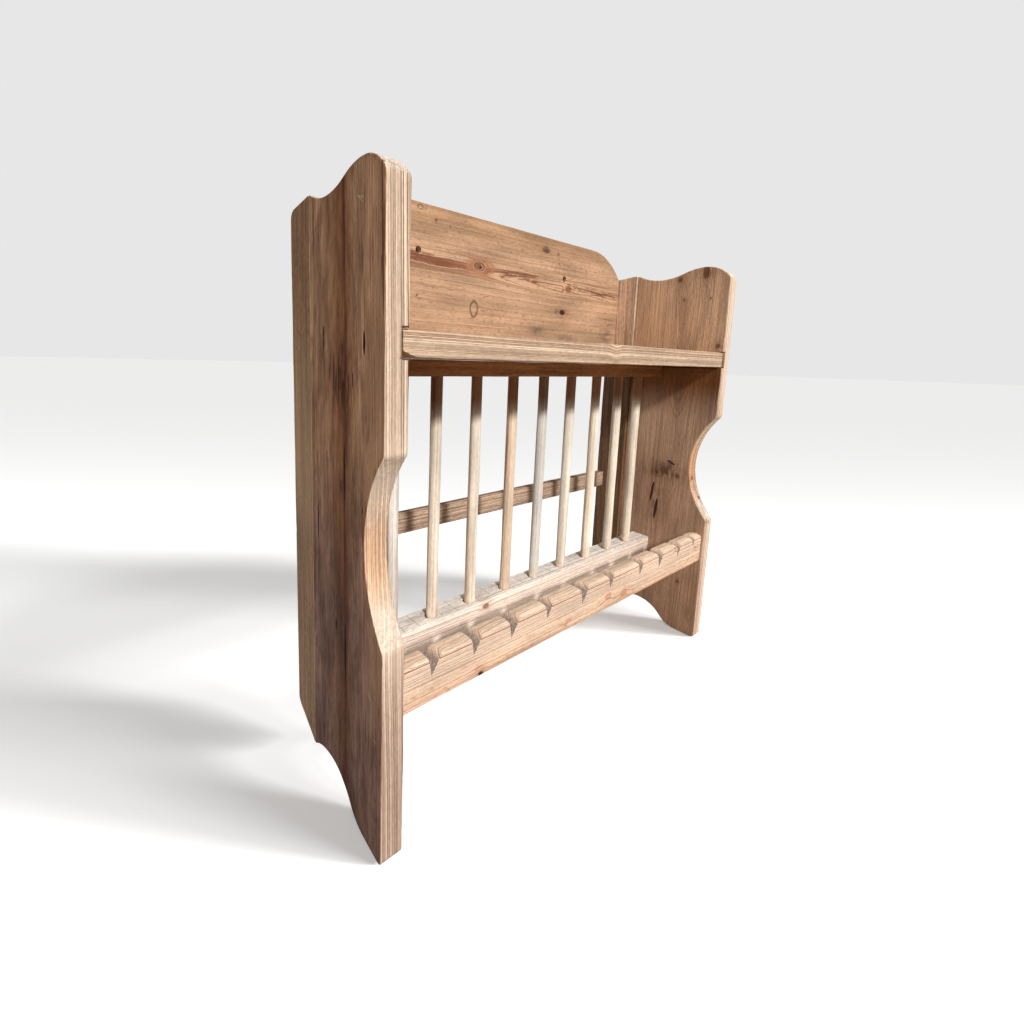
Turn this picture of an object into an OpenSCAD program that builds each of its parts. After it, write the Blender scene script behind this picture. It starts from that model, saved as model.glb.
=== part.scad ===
// Wall plate rack in old pine. Two shaped sides carry a shelf, a row of upright dowels and a notched
// front rail. Plates stand on edge in the notches and lean between the dowels.
//
// Bench frame, used inside every module: X runs right from the left side's outer face, Y runs back
// from the front edges, Z runs up from the feet. place() moves the bench frame to the part's frame,
// whose origin is on the wall plane, midway between the two wall screws.

/* [Overall] */
// Width over both sides
rack_w = 655; // [560:1:760]
// Depth from the front edges to the wall
rack_d = 216; // [200:1:250]
// Height of the back board's top edge above the feet
back_top = 682; // [665:1:720]
// Height of the front crest of each side above the feet
side_h = 645; // [630:1:660]

/* [Sides] */
// Thickness of the wide front board of each side
side_t = 24.6; // [20:0.1:28]
// Depth of the narrow rear board that each side is pieced out with
stile_w = 56; // [46:1:66]
// Thickness of the rear board, which stands proud of the side inside
stile_t = 29.8; // [28.6:0.1:36]
// Length of the hand-hold scooped out of the front edge
scoop_len = 178; // [140:1:190]
// Depth of the scoop at its middle
scoop_deep = 35; // [20:1:42]
// Height of the scoop's middle above the feet
scoop_z = 307; // [296:1:316]

/* [Shelf] */
// Thickness of the shelf board
shelf_t = 24.6; // [20:0.1:28]
// Height of the shelf's underside
shelf_z = 479; // [470:1:490]
// How far the shelf's ends are let into the sides
housing = 8; // [5:0.5:10]

/* [Plate rails] */
// Thickness of the notched front rail, front to back
front_rail_t = 22; // [18:0.5:26]
// Height of the front rail at its front edge
front_rail_h = 45; // [40:1:50]
// Height of the front rail's underside
front_rail_z = 144.5; // [135:0.5:155]
// Depth of each plate notch
notch_deep = 19; // [14:0.5:22]
// Run of the notch's steep left wall
notch_left = 3; // [1:0.5:5]
// Run of the notch's sloping right wall
notch_right = 12.5; // [9:0.5:15]
// Diameter of the dowels
dowel_d = 15; // [12:0.5:18]
// Height of the lower dowel rail's top face
dowel_rail_z = 157.5; // [150:0.5:165]
// Height of the section of the lower dowel rail
dowel_rail_h = 40; // [34:1:46]
// Depth of the section of the lower dowel rail, front to back
dowel_rail_d = 34; // [30:1:38]
// Distance from the front edges to the face of the dowel rails
dowel_rail_y = 97; // [90:1:104]
// Height of the section of the upper dowel rail, under the shelf
top_rail_h = 19.6; // [18:0.2:28]
// Depth of the section of the upper dowel rail, front to back
top_rail_d = 30; // [26:1:34]

/* [Back] */
// Thickness of the back board
back_t = 19.5; // [16:0.5:24]
// Radius of the back board's upper corners
corner_r = 112; // [100:1:140]
// Height of the section of the low back rail
back_rail_h = 29; // [24:1:36]
// Thickness of the low back rail
back_rail_t = 15; // [12:0.5:18]
// Height of the low back rail's underside
back_rail_z = 233.5; // [220:0.5:245]
// Distance between the two wall screw holes
screw_pitch = 300; // [280:1:320]
// Diameter of the wall screw holes
screw_hole_d = 6; // [4.5:0.5:7]
// Height of the wall screw holes above the feet
screw_z = 622; // [610:1:630]

/* [Hidden] */
$fn = 96;

// Fits
socket_clear = 0.15;     // dowel in its socket, all round
nail_clear = 0.05;       // nail in its hole, all round
house_clear = 0.4;       // above and below the shelf in its housing
joint_clear = 0.1;       // between butted boards
tiny = 0.5;              // how far a cutter runs past a face
reach = 10;              // how far a cutter runs out of the wood where it is open

// Boards
main_w = rack_d - stile_w;               // depth of the wide board of a side
inner_w = rack_w - 2*side_t;             // clear width between the wide boards
stile_gap_w = rack_w - 2*stile_t;        // clear width between the rear boards
edge_ease = 1.5;                         // worn radius on the long edges of rails

// Outline of the side's top, as two tangent arcs before and two behind the dip
crest_y = 42;
crest_front_r = 52;
dip_y = crest_y + 70;                    // the dip lies this far behind the crest
dip_z = side_h - 13;                     // and this far below it
seam_top_z = side_h - 1;
dip_r = arc_r(main_w - dip_y, seam_top_z - dip_z);
crest_rear_r = arc_r(dip_y - crest_y, side_h - dip_z) - dip_r;
crest_meet_y = crest_y + (dip_y - crest_y)*crest_rear_r/(crest_rear_r + dip_r);
crest_base_z = side_h - crest_front_r;

// Outline of the side's foot, which rises to an arch and comes down again at the seam
toe_y = 36;
toe_r = 39;
toe_corner_r = 4;
arch_y = 106;
arch_z = 31;
seam_foot_z = 13;
arch_front_r = arc_r(arch_y - toe_y, arch_z) - toe_r;
arch_rear_r = arc_r(main_w - arch_y, arch_z - seam_foot_z);
arch_meet_y = toe_y + (arch_y - toe_y)*toe_r/(toe_r + arch_front_r);
stile_foot_z = 33;
stile_top_z = side_h - 5;
stile_corner = 6;

// Shelf and rails
shelf_front = 2.5;                       // set back from the front edges
shelf_back_y = rack_d - back_t;          // rear edge of the shelf, against the back board
front_rail_y = 3.5;                      // set back from the front edges
crown = 2.5;                             // rise of the tooth tops from edge to middle
crown_r = arc_r(front_rail_t/2, crown);
top_rail_y = dowel_rail_y + 2;
dowel_y = dowel_rail_y + 15;             // axis of the dowels
socket_low = 15;                         // depth of the lower sockets
socket_high = 12;                        // depth of the upper sockets

// Back board
corner_in = 23;                          // how much of each rounded corner the board's end cuts off

// The notches and dowels were marked out by eye: how far each lies from an even spacing
notch_drift = [2, -4, -9, -9, -1, 0, 15, 10, 8, -1];
dowel_drift = [-9, -11, -9, -4, -3, -1, 3, 5, 4];
bays = len(notch_drift);
function notch_x(i) = side_t + inner_w*(i + 0.5)/bays + notch_drift[i];
function dowel_x(i) = side_t + inner_w*(i + 1)/bays + dowel_drift[i];
function back_nail_x(i) = stile_t + stile_gap_w*(i + 0.5)/back_nails;

// Wall screws: the pair lies a little left of the rack's middle
screw_shift = -16;

// Nails and pegs
nail_d = 2.8;
nail_head_d = 5.6;
nail_head_t = 1.2;
nail_tip = 5;            // length of the tapered end
nail_tip_d = 0.3;        // diameter of its blunt point
long_nail = 50;
short_nail = 36;
peg_d = 8;
peg_len = 44;
peg_clear = 0.1;
shelf_nail_y = [35, main_w - 33];
rail_nail_step = 16;     // between the two nails of a rail's end
front_nail_up = 10;      // lower nail of the front rail, above its underside
back_nails = 5;          // evenly spaced along the shelf's rear edge
end_nail_z = [stile_top_z - 110, stile_top_z - 35];
peg_z = [stile_foot_z + 77, scoop_z + 23, stile_top_z - 80];

// Radius of an arc that starts level and rises by h over a run of a. An S of two tangent arcs, level
// at both ends, follows the same rule: this is then the sum of their radii.
function arc_r(a, h) = (a*a + h*h)/(2*h);

module place() {
    translate([-rack_w/2 - screw_shift, -rack_d, -screw_z]) children();
}

// A flat outline drawn as (Y, Z), thickened along X
module board_x(x, t) {
    translate([x, 0, 0]) rotate([90, 0, 90]) linear_extrude(height = t) children();
}

// A rectangle whose corners are rounded
module eased(w, h, r) {
    translate([r, 0]) square([w - 2*r, h]);
    translate([0, r]) square([w, h - 2*r]);
    for (a = [r, w - r], b = [r, h - r]) translate([a, b]) circle(r = r);
}

// The part of a disc that lies between two depths and two heights
module arc_block(y0, y1, z0, z1, cy, cz, r) {
    intersection() {
        translate([y0, z0]) square([y1 - y0, z1 - z0]);
        translate([cy, cz]) circle(r = r, $fn = 180);
    }
}

module side_top_outline() {
    arc_block(0, crest_y, crest_base_z, side_h, crest_y, side_h - crest_front_r, crest_front_r);
    arc_block(crest_y, crest_meet_y, crest_base_z, side_h, crest_y, side_h - crest_rear_r, crest_rear_r);
    difference() {
        translate([crest_meet_y, crest_base_z]) square([main_w - crest_meet_y, seam_top_z - crest_base_z]);
        translate([dip_y, dip_z + dip_r]) circle(r = dip_r, $fn = 180);
    }
}

module side_foot_outline() {
    translate([toe_corner_r, 0]) square([toe_y - toe_corner_r, arch_z + toe_r]);
    arc_block(0, toe_corner_r, 0, toe_corner_r, toe_corner_r, toe_corner_r, toe_corner_r);
    translate([0, toe_corner_r]) square([toe_corner_r, arch_z + toe_r - toe_corner_r]);
    arc_block(toe_y, arch_meet_y, 0, arch_z + toe_r, toe_y, toe_r, toe_r);
    translate([toe_y, toe_r]) square([arch_meet_y - toe_y, arch_z]);
    difference() {
        translate([arch_meet_y, 0]) square([arch_y - arch_meet_y, arch_z + toe_r]);
        translate([arch_y, arch_z - arch_front_r]) circle(r = arch_front_r, $fn = 180);
    }
    difference() {
        translate([arch_y, seam_foot_z]) square([main_w - arch_y, arch_z + toe_r - seam_foot_z]);
        translate([arch_y, arch_z - arch_rear_r]) circle(r = arch_rear_r, $fn = 240);
    }
}

module side_outline() {
    scoop_r = arc_r(scoop_len/2, scoop_deep);
    difference() {
        union() {
            side_top_outline();
            translate([0, arch_z + toe_r]) square([main_w, crest_base_z - arch_z - toe_r]);
            side_foot_outline();
        }
        translate([scoop_deep - scoop_r, scoop_z]) circle(r = scoop_r, $fn = 240);
    }
}

// The rear board's outline: its foot slopes up to the rear, and its two rear corners are blunted
module rear_board_outline() {
    seam_y = main_w + joint_clear;
    polygon([
        [seam_y, seam_foot_z], [rack_d - stile_corner, stile_foot_z], [rack_d, stile_foot_z + stile_corner],
        [rack_d, stile_top_z - stile_corner], [rack_d - stile_corner, stile_top_z], [seam_y, seam_top_z]]);
}

// The room that the shelf's end needs in a side, all the way back through the rear board
module shelf_housing() {
    cut_w = housing + stile_t;
    translate([side_t - housing - joint_clear, -reach, shelf_z - house_clear])
        cube([cut_w, shelf_back_y + reach + joint_clear, shelf_t + 2*house_clear]);
}

// A cut nail's hole, driven along X from the outer face: a pocket for the head and a bore for the shank
module nail_hole(len) {
    rotate([0, 90, 0]) {
        translate([0, 0, -tiny])
            cylinder(h = nail_head_t + tiny + nail_clear, d = nail_head_d + 2*nail_clear);
        cylinder(h = len - nail_tip, d = nail_d + 2*nail_clear);
        translate([0, 0, len - nail_tip])
            cylinder(h = nail_tip + nail_clear, d1 = nail_d + 2*nail_clear, d2 = nail_tip_d + 2*nail_clear);
    }
}

// A nail driven along X, its head flush with the outer face
module nail(len) {
    rotate([0, 90, 0]) {
        cylinder(h = nail_head_t, d = nail_head_d);
        translate([0, 0, nail_head_t]) cylinder(h = len - nail_tip - nail_head_t, d = nail_d);
        translate([0, 0, len - nail_tip]) cylinder(h = nail_tip, d1 = nail_d, d2 = nail_tip_d);
    }
}

// Puts its children on both sides, the right-hand set as a mirror image
module both_sides() {
    children();
    translate([rack_w, 0, 0]) mirror([1, 0, 0]) children();
}

// Where each family of nails starts, as [Y, Z] on the outer face
shelf_nail_at = [for (y = shelf_nail_y) [y, shelf_z + shelf_t/2]];
front_nail_at = [for (k = [0, 1]) [front_rail_y + front_rail_t/2,
    front_rail_z + front_nail_up + k*rail_nail_step]];
lower_nail_at = [for (k = [-0.5, 0.5]) [dowel_rail_y + dowel_rail_d/2 + k*rail_nail_step,
    dowel_rail_z - dowel_rail_h/2]];
top_nail_at = [for (k = [-0.5, 0.5]) [top_rail_y + top_rail_d/2 + k*rail_nail_step, shelf_z - top_rail_h/2]];
back_rail_nail_at = [[rack_d - back_rail_t/2, back_rail_z + back_rail_h/2]];
end_nail_at = [for (z = end_nail_z) [rack_d - back_t/2, z]];
side_nail_at = concat(shelf_nail_at, front_nail_at, lower_nail_at, top_nail_at);
rear_nail_at = concat(back_rail_nail_at, end_nail_at);

module holes_at(list, len) {
    for (p = list) translate([0, p[0], p[1]]) nail_hole(len);
}

module nails_at(list, len) {
    both_sides() for (p = list) translate([0, p[0], p[1]]) nail(len);
}

// The three pegs that cross the joint between the two boards of a side
module pegs(extra) {
    for (z = peg_z)
        translate([side_t/2, main_w - peg_len/2 - extra, z]) rotate([-90, 0, 0])
            cylinder(h = peg_len + 2*extra, d = peg_d + 2*extra);
}

module left_side_solid() {
    difference() {
        board_x(0, side_t) side_outline();
        shelf_housing();
        holes_at(side_nail_at, long_nail);
        pegs(peg_clear);
    }
}

module left_rear_board_solid() {
    difference() {
        board_x(0, stile_t) rear_board_outline();
        shelf_housing();
        holes_at(rear_nail_at, long_nail);
        pegs(peg_clear);
    }
}

module left_side() {
    color("#8a7058") left_side_solid();
}

module right_side() {
    color("#a5785a") translate([rack_w, 0, 0]) mirror([1, 0, 0]) left_side_solid();
}

module left_rear_board() {
    color("#7d6650") left_rear_board_solid();
}

module right_rear_board() {
    color("#9c7558") translate([rack_w, 0, 0]) mirror([1, 0, 0]) left_rear_board_solid();
}

module shelf() {
    end_x = side_t - housing;
    color("#d9b896") difference() {
        translate([end_x, shelf_front, shelf_z])
            cube([rack_w - 2*end_x, shelf_back_y - shelf_front, shelf_t]);
        both_sides() holes_at(shelf_nail_at, long_nail);
        back_nail_holes();
    }
}

// Nails through the back board into the rear edge of the shelf
module back_nail_holes() {
    for (i = [0:back_nails - 1])
        translate([back_nail_x(i), rack_d, shelf_z + shelf_t/2]) rotate([0, 0, -90]) nail_hole(short_nail);
}

module back_board() {
    x0 = stile_t + joint_clear;
    w = rack_w - 2*x0;
    h = back_top - shelf_z;
    color("#b98a5c") difference() {
        translate([x0, rack_d, shelf_z]) rotate([90, 0, 0]) linear_extrude(height = back_t) union() {
            square([w, h - corner_r]);
            intersection() {
                translate([0, h - corner_r]) square([w, corner_r]);
                union() {
                    translate([corner_r - corner_in, 0]) square([w - 2*(corner_r - corner_in), h]);
                    for (x = [corner_r - corner_in, w - corner_r + corner_in])
                        translate([x, h - corner_r]) circle(r = corner_r, $fn = 240);
                }
            }
        }
        for (s = [-0.5, 0.5])
            translate([rack_w/2 + screw_shift + s*screw_pitch, rack_d + tiny, screw_z]) rotate([90, 0, 0])
                cylinder(h = back_t + 2*tiny, d = screw_hole_d);
        both_sides() holes_at(end_nail_at, long_nail);
        back_nail_holes();
    }
}

module dowel_sockets(z, depth) {
    for (i = [0:len(dowel_drift) - 1])
        translate([dowel_x(i), dowel_y, z]) cylinder(h = depth, d = dowel_d + 2*socket_clear);
}

module top_dowel_rail() {
    bottom_z = shelf_z - top_rail_h;
    color("#5c4230") difference() {
        board_x(side_t + joint_clear, inner_w - 2*joint_clear)
            translate([top_rail_y, bottom_z]) square([top_rail_d, top_rail_h]);
        dowel_sockets(bottom_z - tiny, socket_high + tiny);
        both_sides() holes_at(top_nail_at, long_nail);
    }
}

module lower_dowel_rail() {
    color("#c9a078") difference() {
        board_x(side_t + joint_clear, inner_w - 2*joint_clear)
            translate([dowel_rail_y, dowel_rail_z - dowel_rail_h])
                eased(dowel_rail_d, dowel_rail_h, edge_ease);
        dowel_sockets(dowel_rail_z - socket_low, socket_low + tiny);
        both_sides() holes_at(lower_nail_at, long_nail);
    }
}

// The section of the front rail: a bar with a crowned top
module front_rail_section() {
    square([front_rail_t, front_rail_h - crown]);
    intersection() {
        translate([0, front_rail_h - crown - tiny]) square([front_rail_t, 2*crown + tiny]);
        translate([front_rail_t/2, front_rail_h + crown - crown_r]) circle(r = crown_r);
    }
}

module notch() {
    rise = (notch_deep + reach)/notch_deep;
    translate([0, front_rail_y + front_rail_t + tiny, 0]) rotate([90, 0, 0])
        linear_extrude(height = front_rail_t + 2*tiny)
            polygon([[0, 0], [notch_right*rise, notch_deep*rise], [-notch_left*rise, notch_deep*rise]]);
}

module notched_front_rail() {
    color("#d8a884") difference() {
        board_x(side_t + joint_clear, inner_w - 2*joint_clear)
            translate([front_rail_y, front_rail_z]) front_rail_section();
        for (i = [0:bays - 1])
            translate([notch_x(i), 0, front_rail_z + front_rail_h - notch_deep]) notch();
        both_sides() holes_at(front_nail_at, short_nail);
    }
}

module low_back_rail() {
    color("#8a5f42") difference() {
        translate([stile_t + joint_clear, rack_d - back_rail_t, back_rail_z])
            cube([stile_gap_w - 2*joint_clear, back_rail_t, back_rail_h]);
        both_sides() holes_at(back_rail_nail_at, long_nail);
    }
}

module dowel(i) {
    z0 = dowel_rail_z - socket_low + joint_clear;
    z1 = shelf_z - top_rail_h + socket_high - joint_clear;
    color("#dcc29a") translate([dowel_x(i), dowel_y, z0]) cylinder(h = z1 - z0, d = dowel_d);
}

module nail_set(list, len) {
    color("#3b332d") nails_at(list, len);
}

module back_board_nails() {
    color("#3b332d") for (i = [0:back_nails - 1])
        translate([back_nail_x(i), rack_d, shelf_z + shelf_t/2]) rotate([0, 0, -90]) nail(short_nail);
}

place() left_side();
place() right_side();
place() left_rear_board();
place() right_rear_board();
place() shelf();
place() back_board();
place() top_dowel_rail();
place() lower_dowel_rail();
place() notched_front_rail();
place() low_back_rail();
place() dowel(0);  // dowel_1
place() dowel(1);  // dowel_2
place() dowel(2);  // dowel_3
place() dowel(3);  // dowel_4
place() dowel(4);  // dowel_5
place() dowel(5);  // dowel_6
place() dowel(6);  // dowel_7
place() dowel(7);  // dowel_8
place() dowel(8);  // dowel_9
place() nail_set(shelf_nail_at, long_nail);  // shelf_nails
place() nail_set(front_nail_at, short_nail);  // front_rail_nails
place() nail_set(lower_nail_at, long_nail);  // lower_rail_nails
place() nail_set(top_nail_at, long_nail);  // top_rail_nails
place() nail_set(back_rail_nail_at, long_nail);  // back_rail_nails
place() back_board_nails();
place() nail_set(end_nail_at, long_nail);  // back_board_end_nails
place() color("#c8a67c") pegs(0);  // left_edge_pegs
place() color("#c8a67c") translate([rack_w, 0, 0]) mirror([1, 0, 0]) pegs(0);  // right_edge_pegs
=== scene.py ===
# %% [markdown]
# # A wall plate rack in old stripped pine
# The rack hangs on a kitchen wall. Plates stand on edge in the notched front rail and lean back between
# the dowels. Two shaped sides carry everything. This lesson takes the plain CAD boards and gives each its
# worn edges, its saw marks and its own pine: rings, knots, cracks and dirt where the real rack has them.

import math

import bmesh
import bpy
import numpy as np
from mathutils import Matrix, Vector, noise
from mathutils.geometry import delaunay_2d_cdt


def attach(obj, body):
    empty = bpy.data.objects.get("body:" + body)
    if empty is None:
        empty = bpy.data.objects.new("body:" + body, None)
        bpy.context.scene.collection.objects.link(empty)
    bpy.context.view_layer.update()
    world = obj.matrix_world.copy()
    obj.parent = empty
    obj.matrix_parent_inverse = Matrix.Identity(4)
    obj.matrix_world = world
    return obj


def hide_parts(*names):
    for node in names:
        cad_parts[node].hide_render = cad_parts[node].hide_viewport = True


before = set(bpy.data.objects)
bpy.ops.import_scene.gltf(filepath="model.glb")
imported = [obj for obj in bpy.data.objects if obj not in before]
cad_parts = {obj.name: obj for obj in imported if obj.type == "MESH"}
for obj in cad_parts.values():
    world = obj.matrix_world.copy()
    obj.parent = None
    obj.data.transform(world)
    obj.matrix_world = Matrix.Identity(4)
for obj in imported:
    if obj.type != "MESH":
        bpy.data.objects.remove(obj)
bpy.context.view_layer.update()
print("CAD nodes:", len(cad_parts))

# %% [markdown]
# ## One ruler for everything
# A joiner measures a rack on the bench: x from the left side's outer face, y from the front edges, z from
# the feet, in millimetres. The CAD part keeps its origin at the wall screws, so one shift takes a bench
# point to the part's frame in metres. All sizes below are bench sizes, the same as in the CAD source.

# %% The bench frame
RACK_W, RACK_D, SCREW_Z = 655.0, 216.0, 622.0
BENCH_ZERO = np.array([-RACK_W / 2 + 16, -RACK_D, -SCREW_Z]) * 0.001
SIDE_T, STILE_T, MAIN_W = 24.6, 29.8, 160.0
INNER_W = RACK_W - 2 * SIDE_T
NOTCH_DRIFT = [2, -4, -9, -9, -1, 0, 15, 10, 8, -1]
DOWEL_DRIFT = [-9, -11, -9, -4, -3, -1, 3, 5, 4]
notch_x = [SIDE_T + INNER_W * (i + 0.5) / 10 + d for i, d in enumerate(NOTCH_DRIFT)]
dowel_x = [SIDE_T + INNER_W * (i + 1) / 10 + d for i, d in enumerate(DOWEL_DRIFT)]


def wander(points, size, seed):
    """Smooth noise from about -1 to 1 at each point, with swells of the given size in mm."""
    shift = Vector((seed * 17.31, seed * 5.13, seed * 9.77))
    deep = np.zeros((len(points), 3))
    deep[:, : points.shape[1]] = points
    return np.array([noise.noise(Vector(p) / size + shift) for p in deep])


print("notches at", [round(x) for x in notch_x], "dowels at", [round(x) for x in dowel_x])

# %% [markdown]
# ## Boards sawn to an outline
# The sides, the rear boards and the back board are flat boards sawn to an outline. A plain extrusion has
# knife edges, and old pine never does: hands, cloths and plates round every arris, more in some places
# than in others. So the board is built as a stack of rings: the outline is walked at even steps, and at
# each step the edge turns through a quarter circle whose radius wanders. The flat faces are then filled
# with small triangles. Each point also keeps its distance to the nearest arris, which the wood's
# finish reads later as wear.


# %% Outline tools
def arc_r(run, rise):
    """The radius of an arc that is level at one end and climbs by rise over run."""
    return (run * run + rise * rise) / (2 * rise)


def arc(start, end, middle, level, radius, side, count=24):
    """Points from start to end on a circle about (middle, level): its upper side for 1, its lower for -1."""
    steps = np.linspace(start, end, count)
    return [(a, level + side * math.sqrt(radius**2 - (a - middle) ** 2)) for a in steps]


def even_walk(outline, step, softening):
    """The closed outline in even steps, its corners softened by that many passes."""
    loop = np.array(outline + outline[:1], float)
    along = np.concatenate([[0], np.cumsum(np.hypot(*np.diff(loop, axis=0).T))])
    at = np.linspace(0, along[-1], int(along[-1] / step), endpoint=False)
    walk = np.stack([np.interp(at, along, loop[:, k]) for k in (0, 1)], 1)
    for _ in range(softening):
        walk = (np.roll(walk, 1, 0) + 2 * walk + np.roll(walk, -1, 0)) / 4
    return walk


def fill_ring(ring, step):
    """A ring of flat points filled with triangles: the new points inside, and the faces."""
    low, high = ring.min(0), ring.max(0)
    grid = np.stack(np.meshgrid(*(np.arange(low[k] + step / 2, high[k], step) for k in (0, 1))), -1)
    grid = grid.reshape(-1, 2)
    near = np.sqrt(((grid[:, None] - ring[None]) ** 2).sum(-1)).min(1)
    after = np.roll(ring, -1, 0)
    x, y = grid[:, :1], grid[:, 1:]
    rise = np.where(after[:, 1] == ring[:, 1], 1e-9, after[:, 1] - ring[:, 1])
    crossed = ((ring[:, 1] > y) != (after[:, 1] > y)) & (
        x < (after[:, 0] - ring[:, 0]) * (y - ring[:, 1]) / rise + ring[:, 0]
    )
    inner = grid[(crossed.sum(1) % 2 == 1) & (near > 0.6 * step)]
    flat = [Vector(p) for p in np.vstack([ring, inner])]
    points, _, faces, origins, _, _ = delaunay_2d_cdt(flat, [], [list(range(len(ring)))], 1, 1e-4)
    return np.array([tuple(p) for p in points]), faces, origins


print("an arc that falls 35 mm in 89 mm has the radius", round(arc_r(89, 35), 1), "mm")


# %% The board builder
WALK_STEP = 2.5  # mm between two points of an outline
LIP = 1.2  # mm of flat between the rounding and the first triangles
QUARTER = np.radians([0, 18, 36, 54, 72, 90])


def sawn_board(outline, low, high, wear, seed, softening, fill_step=5.0):
    """A board from depth low to high: its points (a, b, depth), faces and distances to the arris."""
    rim = even_walk(outline, WALK_STEP, softening)
    count = len(rim)
    ahead = np.roll(rim, -1, 0) - np.roll(rim, 1, 0)
    inward = np.stack([-ahead[:, 1], ahead[:, 0]], 1) / np.hypot(*ahead.T)[:, None]
    step = np.roll(rim, -1, 0) - rim
    rings = []
    for face, sign in ((low, 1), (high, -1)):
        shift = seed + (7 if sign < 0 else 0)
        chips = 3.2 * np.clip(wander(rim, 15, shift + 3) - 0.38, 0, 1)
        radius = wear * (1 + 0.55 * wander(rim, 42, shift)) + chips
        # In a tight corner the inner ring would fold over itself, so the radius shrinks there.
        for _ in range(60):
            inner = rim + inward * (radius + LIP)[:, None]
            folded = ((np.roll(inner, -1, 0) - inner) * step).sum(1) < 0.25 * (step * step).sum(1)
            if not folded.any():
                break
            folded = folded | np.roll(folded, 1)
            folded = folded | np.roll(folded, 1) | np.roll(folded, -1)
            radius = np.where(folded, (radius + LIP) * 0.93 - LIP, radius)
        turn = [(np.maximum(radius + LIP, 0.5), np.zeros(count))]
        radius = np.maximum(radius, 0.3)
        turn += [(radius * (1 - math.sin(t)), radius * (1 - math.cos(t))) for t in QUARTER]
        rings.append([(off, face + sign * sunk) for off, sunk in turn])
    first, last = rings[0][-1][1], rings[1][-1][1]
    steps = max(2, int((high - low) / 5))
    band = [(0 * first, first + (last - first) * k / steps) for k in range(1, steps)]
    stack = rings[0] + band + rings[1][::-1]
    points = [np.column_stack([rim + inward * off[:, None], depth]) for off, depth in stack]
    edge = [np.maximum(off, np.minimum(depth - low, high - depth)) for off, depth in stack]
    faces = [
        (k * count + j, k * count + (j + 1) % count, (k + 1) * count + (j + 1) % count, (k + 1) * count + j)
        for k in range(len(stack) - 1)
        for j in range(count)
    ]
    total = len(stack) * count
    for start, depth in ((0, low), (total - count, high)):
        ring = points[start // count][:, :2]
        inside, triangles, origins = fill_ring(ring, fill_step)
        number = {}
        added = []
        for k, origin in enumerate(origins):
            if origin and origin[0] < count:
                number[k] = start + origin[0]
            else:
                number[k] = total + len(added)
                added.append(inside[k])
        added = np.array(added)
        gap = np.sqrt(((added[:, None] - rim[None]) ** 2).sum(-1)).min(1)
        points.append(np.column_stack([added, np.full(len(added), depth)]))
        edge.append(gap)
        total += len(added)
        faces += [tuple(number[k] for k in face) for face in triangles]
    return np.vstack(points), faces, np.concatenate(edge)


def as_piece(name, points, faces, edge):
    """A mesh object from bench points in mm, its place in its mesh, and its wear attribute."""
    mesh = bpy.data.meshes.new(name)
    mesh.from_pydata((np.asarray(points) * 0.001 + BENCH_ZERO).tolist(), [], faces)
    wear = mesh.attributes.new("edge", "FLOAT", "POINT")
    wear.data.foreach_set("value", np.clip(edge, 0, 30).astype(np.float32))
    mesh.validate()
    piece = bpy.data.objects.new(name, mesh)
    bpy.context.scene.collection.objects.link(piece)
    tidy_faces(piece)
    return piece


def tidy_faces(piece):
    """Doubles merged, faces turned outwards and shaded smooth."""
    bm = bmesh.new()
    bm.from_mesh(piece.data)
    bmesh.ops.remove_doubles(bm, verts=bm.verts, dist=2e-6)
    bmesh.ops.recalc_face_normals(bm, faces=bm.faces)
    for face in bm.faces:
        face.smooth = True
    bm.to_mesh(piece.data)
    bm.free()


def settle(piece, amount, swell, seed):
    """Sinks each point a little, by smooth noise, along its normal. Nothing grows past the CAD size."""
    mesh = piece.data
    count = len(mesh.vertices)
    place = np.empty(count * 3)
    mesh.vertices.foreach_get("co", place)
    place = place.reshape(-1, 3)
    turned = np.empty(count * 3)
    mesh.vertex_normals.foreach_get("vector", turned)
    depth = amount * (0.5 + 0.5 * wander(place * 1000, swell, seed))
    sunk = place - turned.reshape(-1, 3) * depth[:, None] * 0.001
    place = np.clip(sunk, place.min(0), place.max(0))
    mesh.vertices.foreach_set("co", place.ravel())
    mesh.update()


print("board builder ready")

# %% [markdown]
# ## The outline of a side
# The side's top rises to a rounded crest at the front and dips behind it; its front edge has a hand-hold
# scoop; its foot is cut up in an arch. Each is a pair of tangent arcs, as in the CAD source, so the same
# few numbers give the same curve here.

# %% Side outline
CREST_Y, CREST_Z, DIP_Y, DIP_Z, SEAM_TOP, CREST_FRONT_R = 42.0, 645.0, 112.0, 632.0, 644.0, 52.0
TOE_Y, TOE_R, ARCH_Y, ARCH_Z, SEAM_FOOT = 36.0, 39.0, 106.0, 31.0, 13.0
SCOOP_Z, SCOOP_HALF, SCOOP_DEEP = 307.0, 89.0, 35.0


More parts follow.
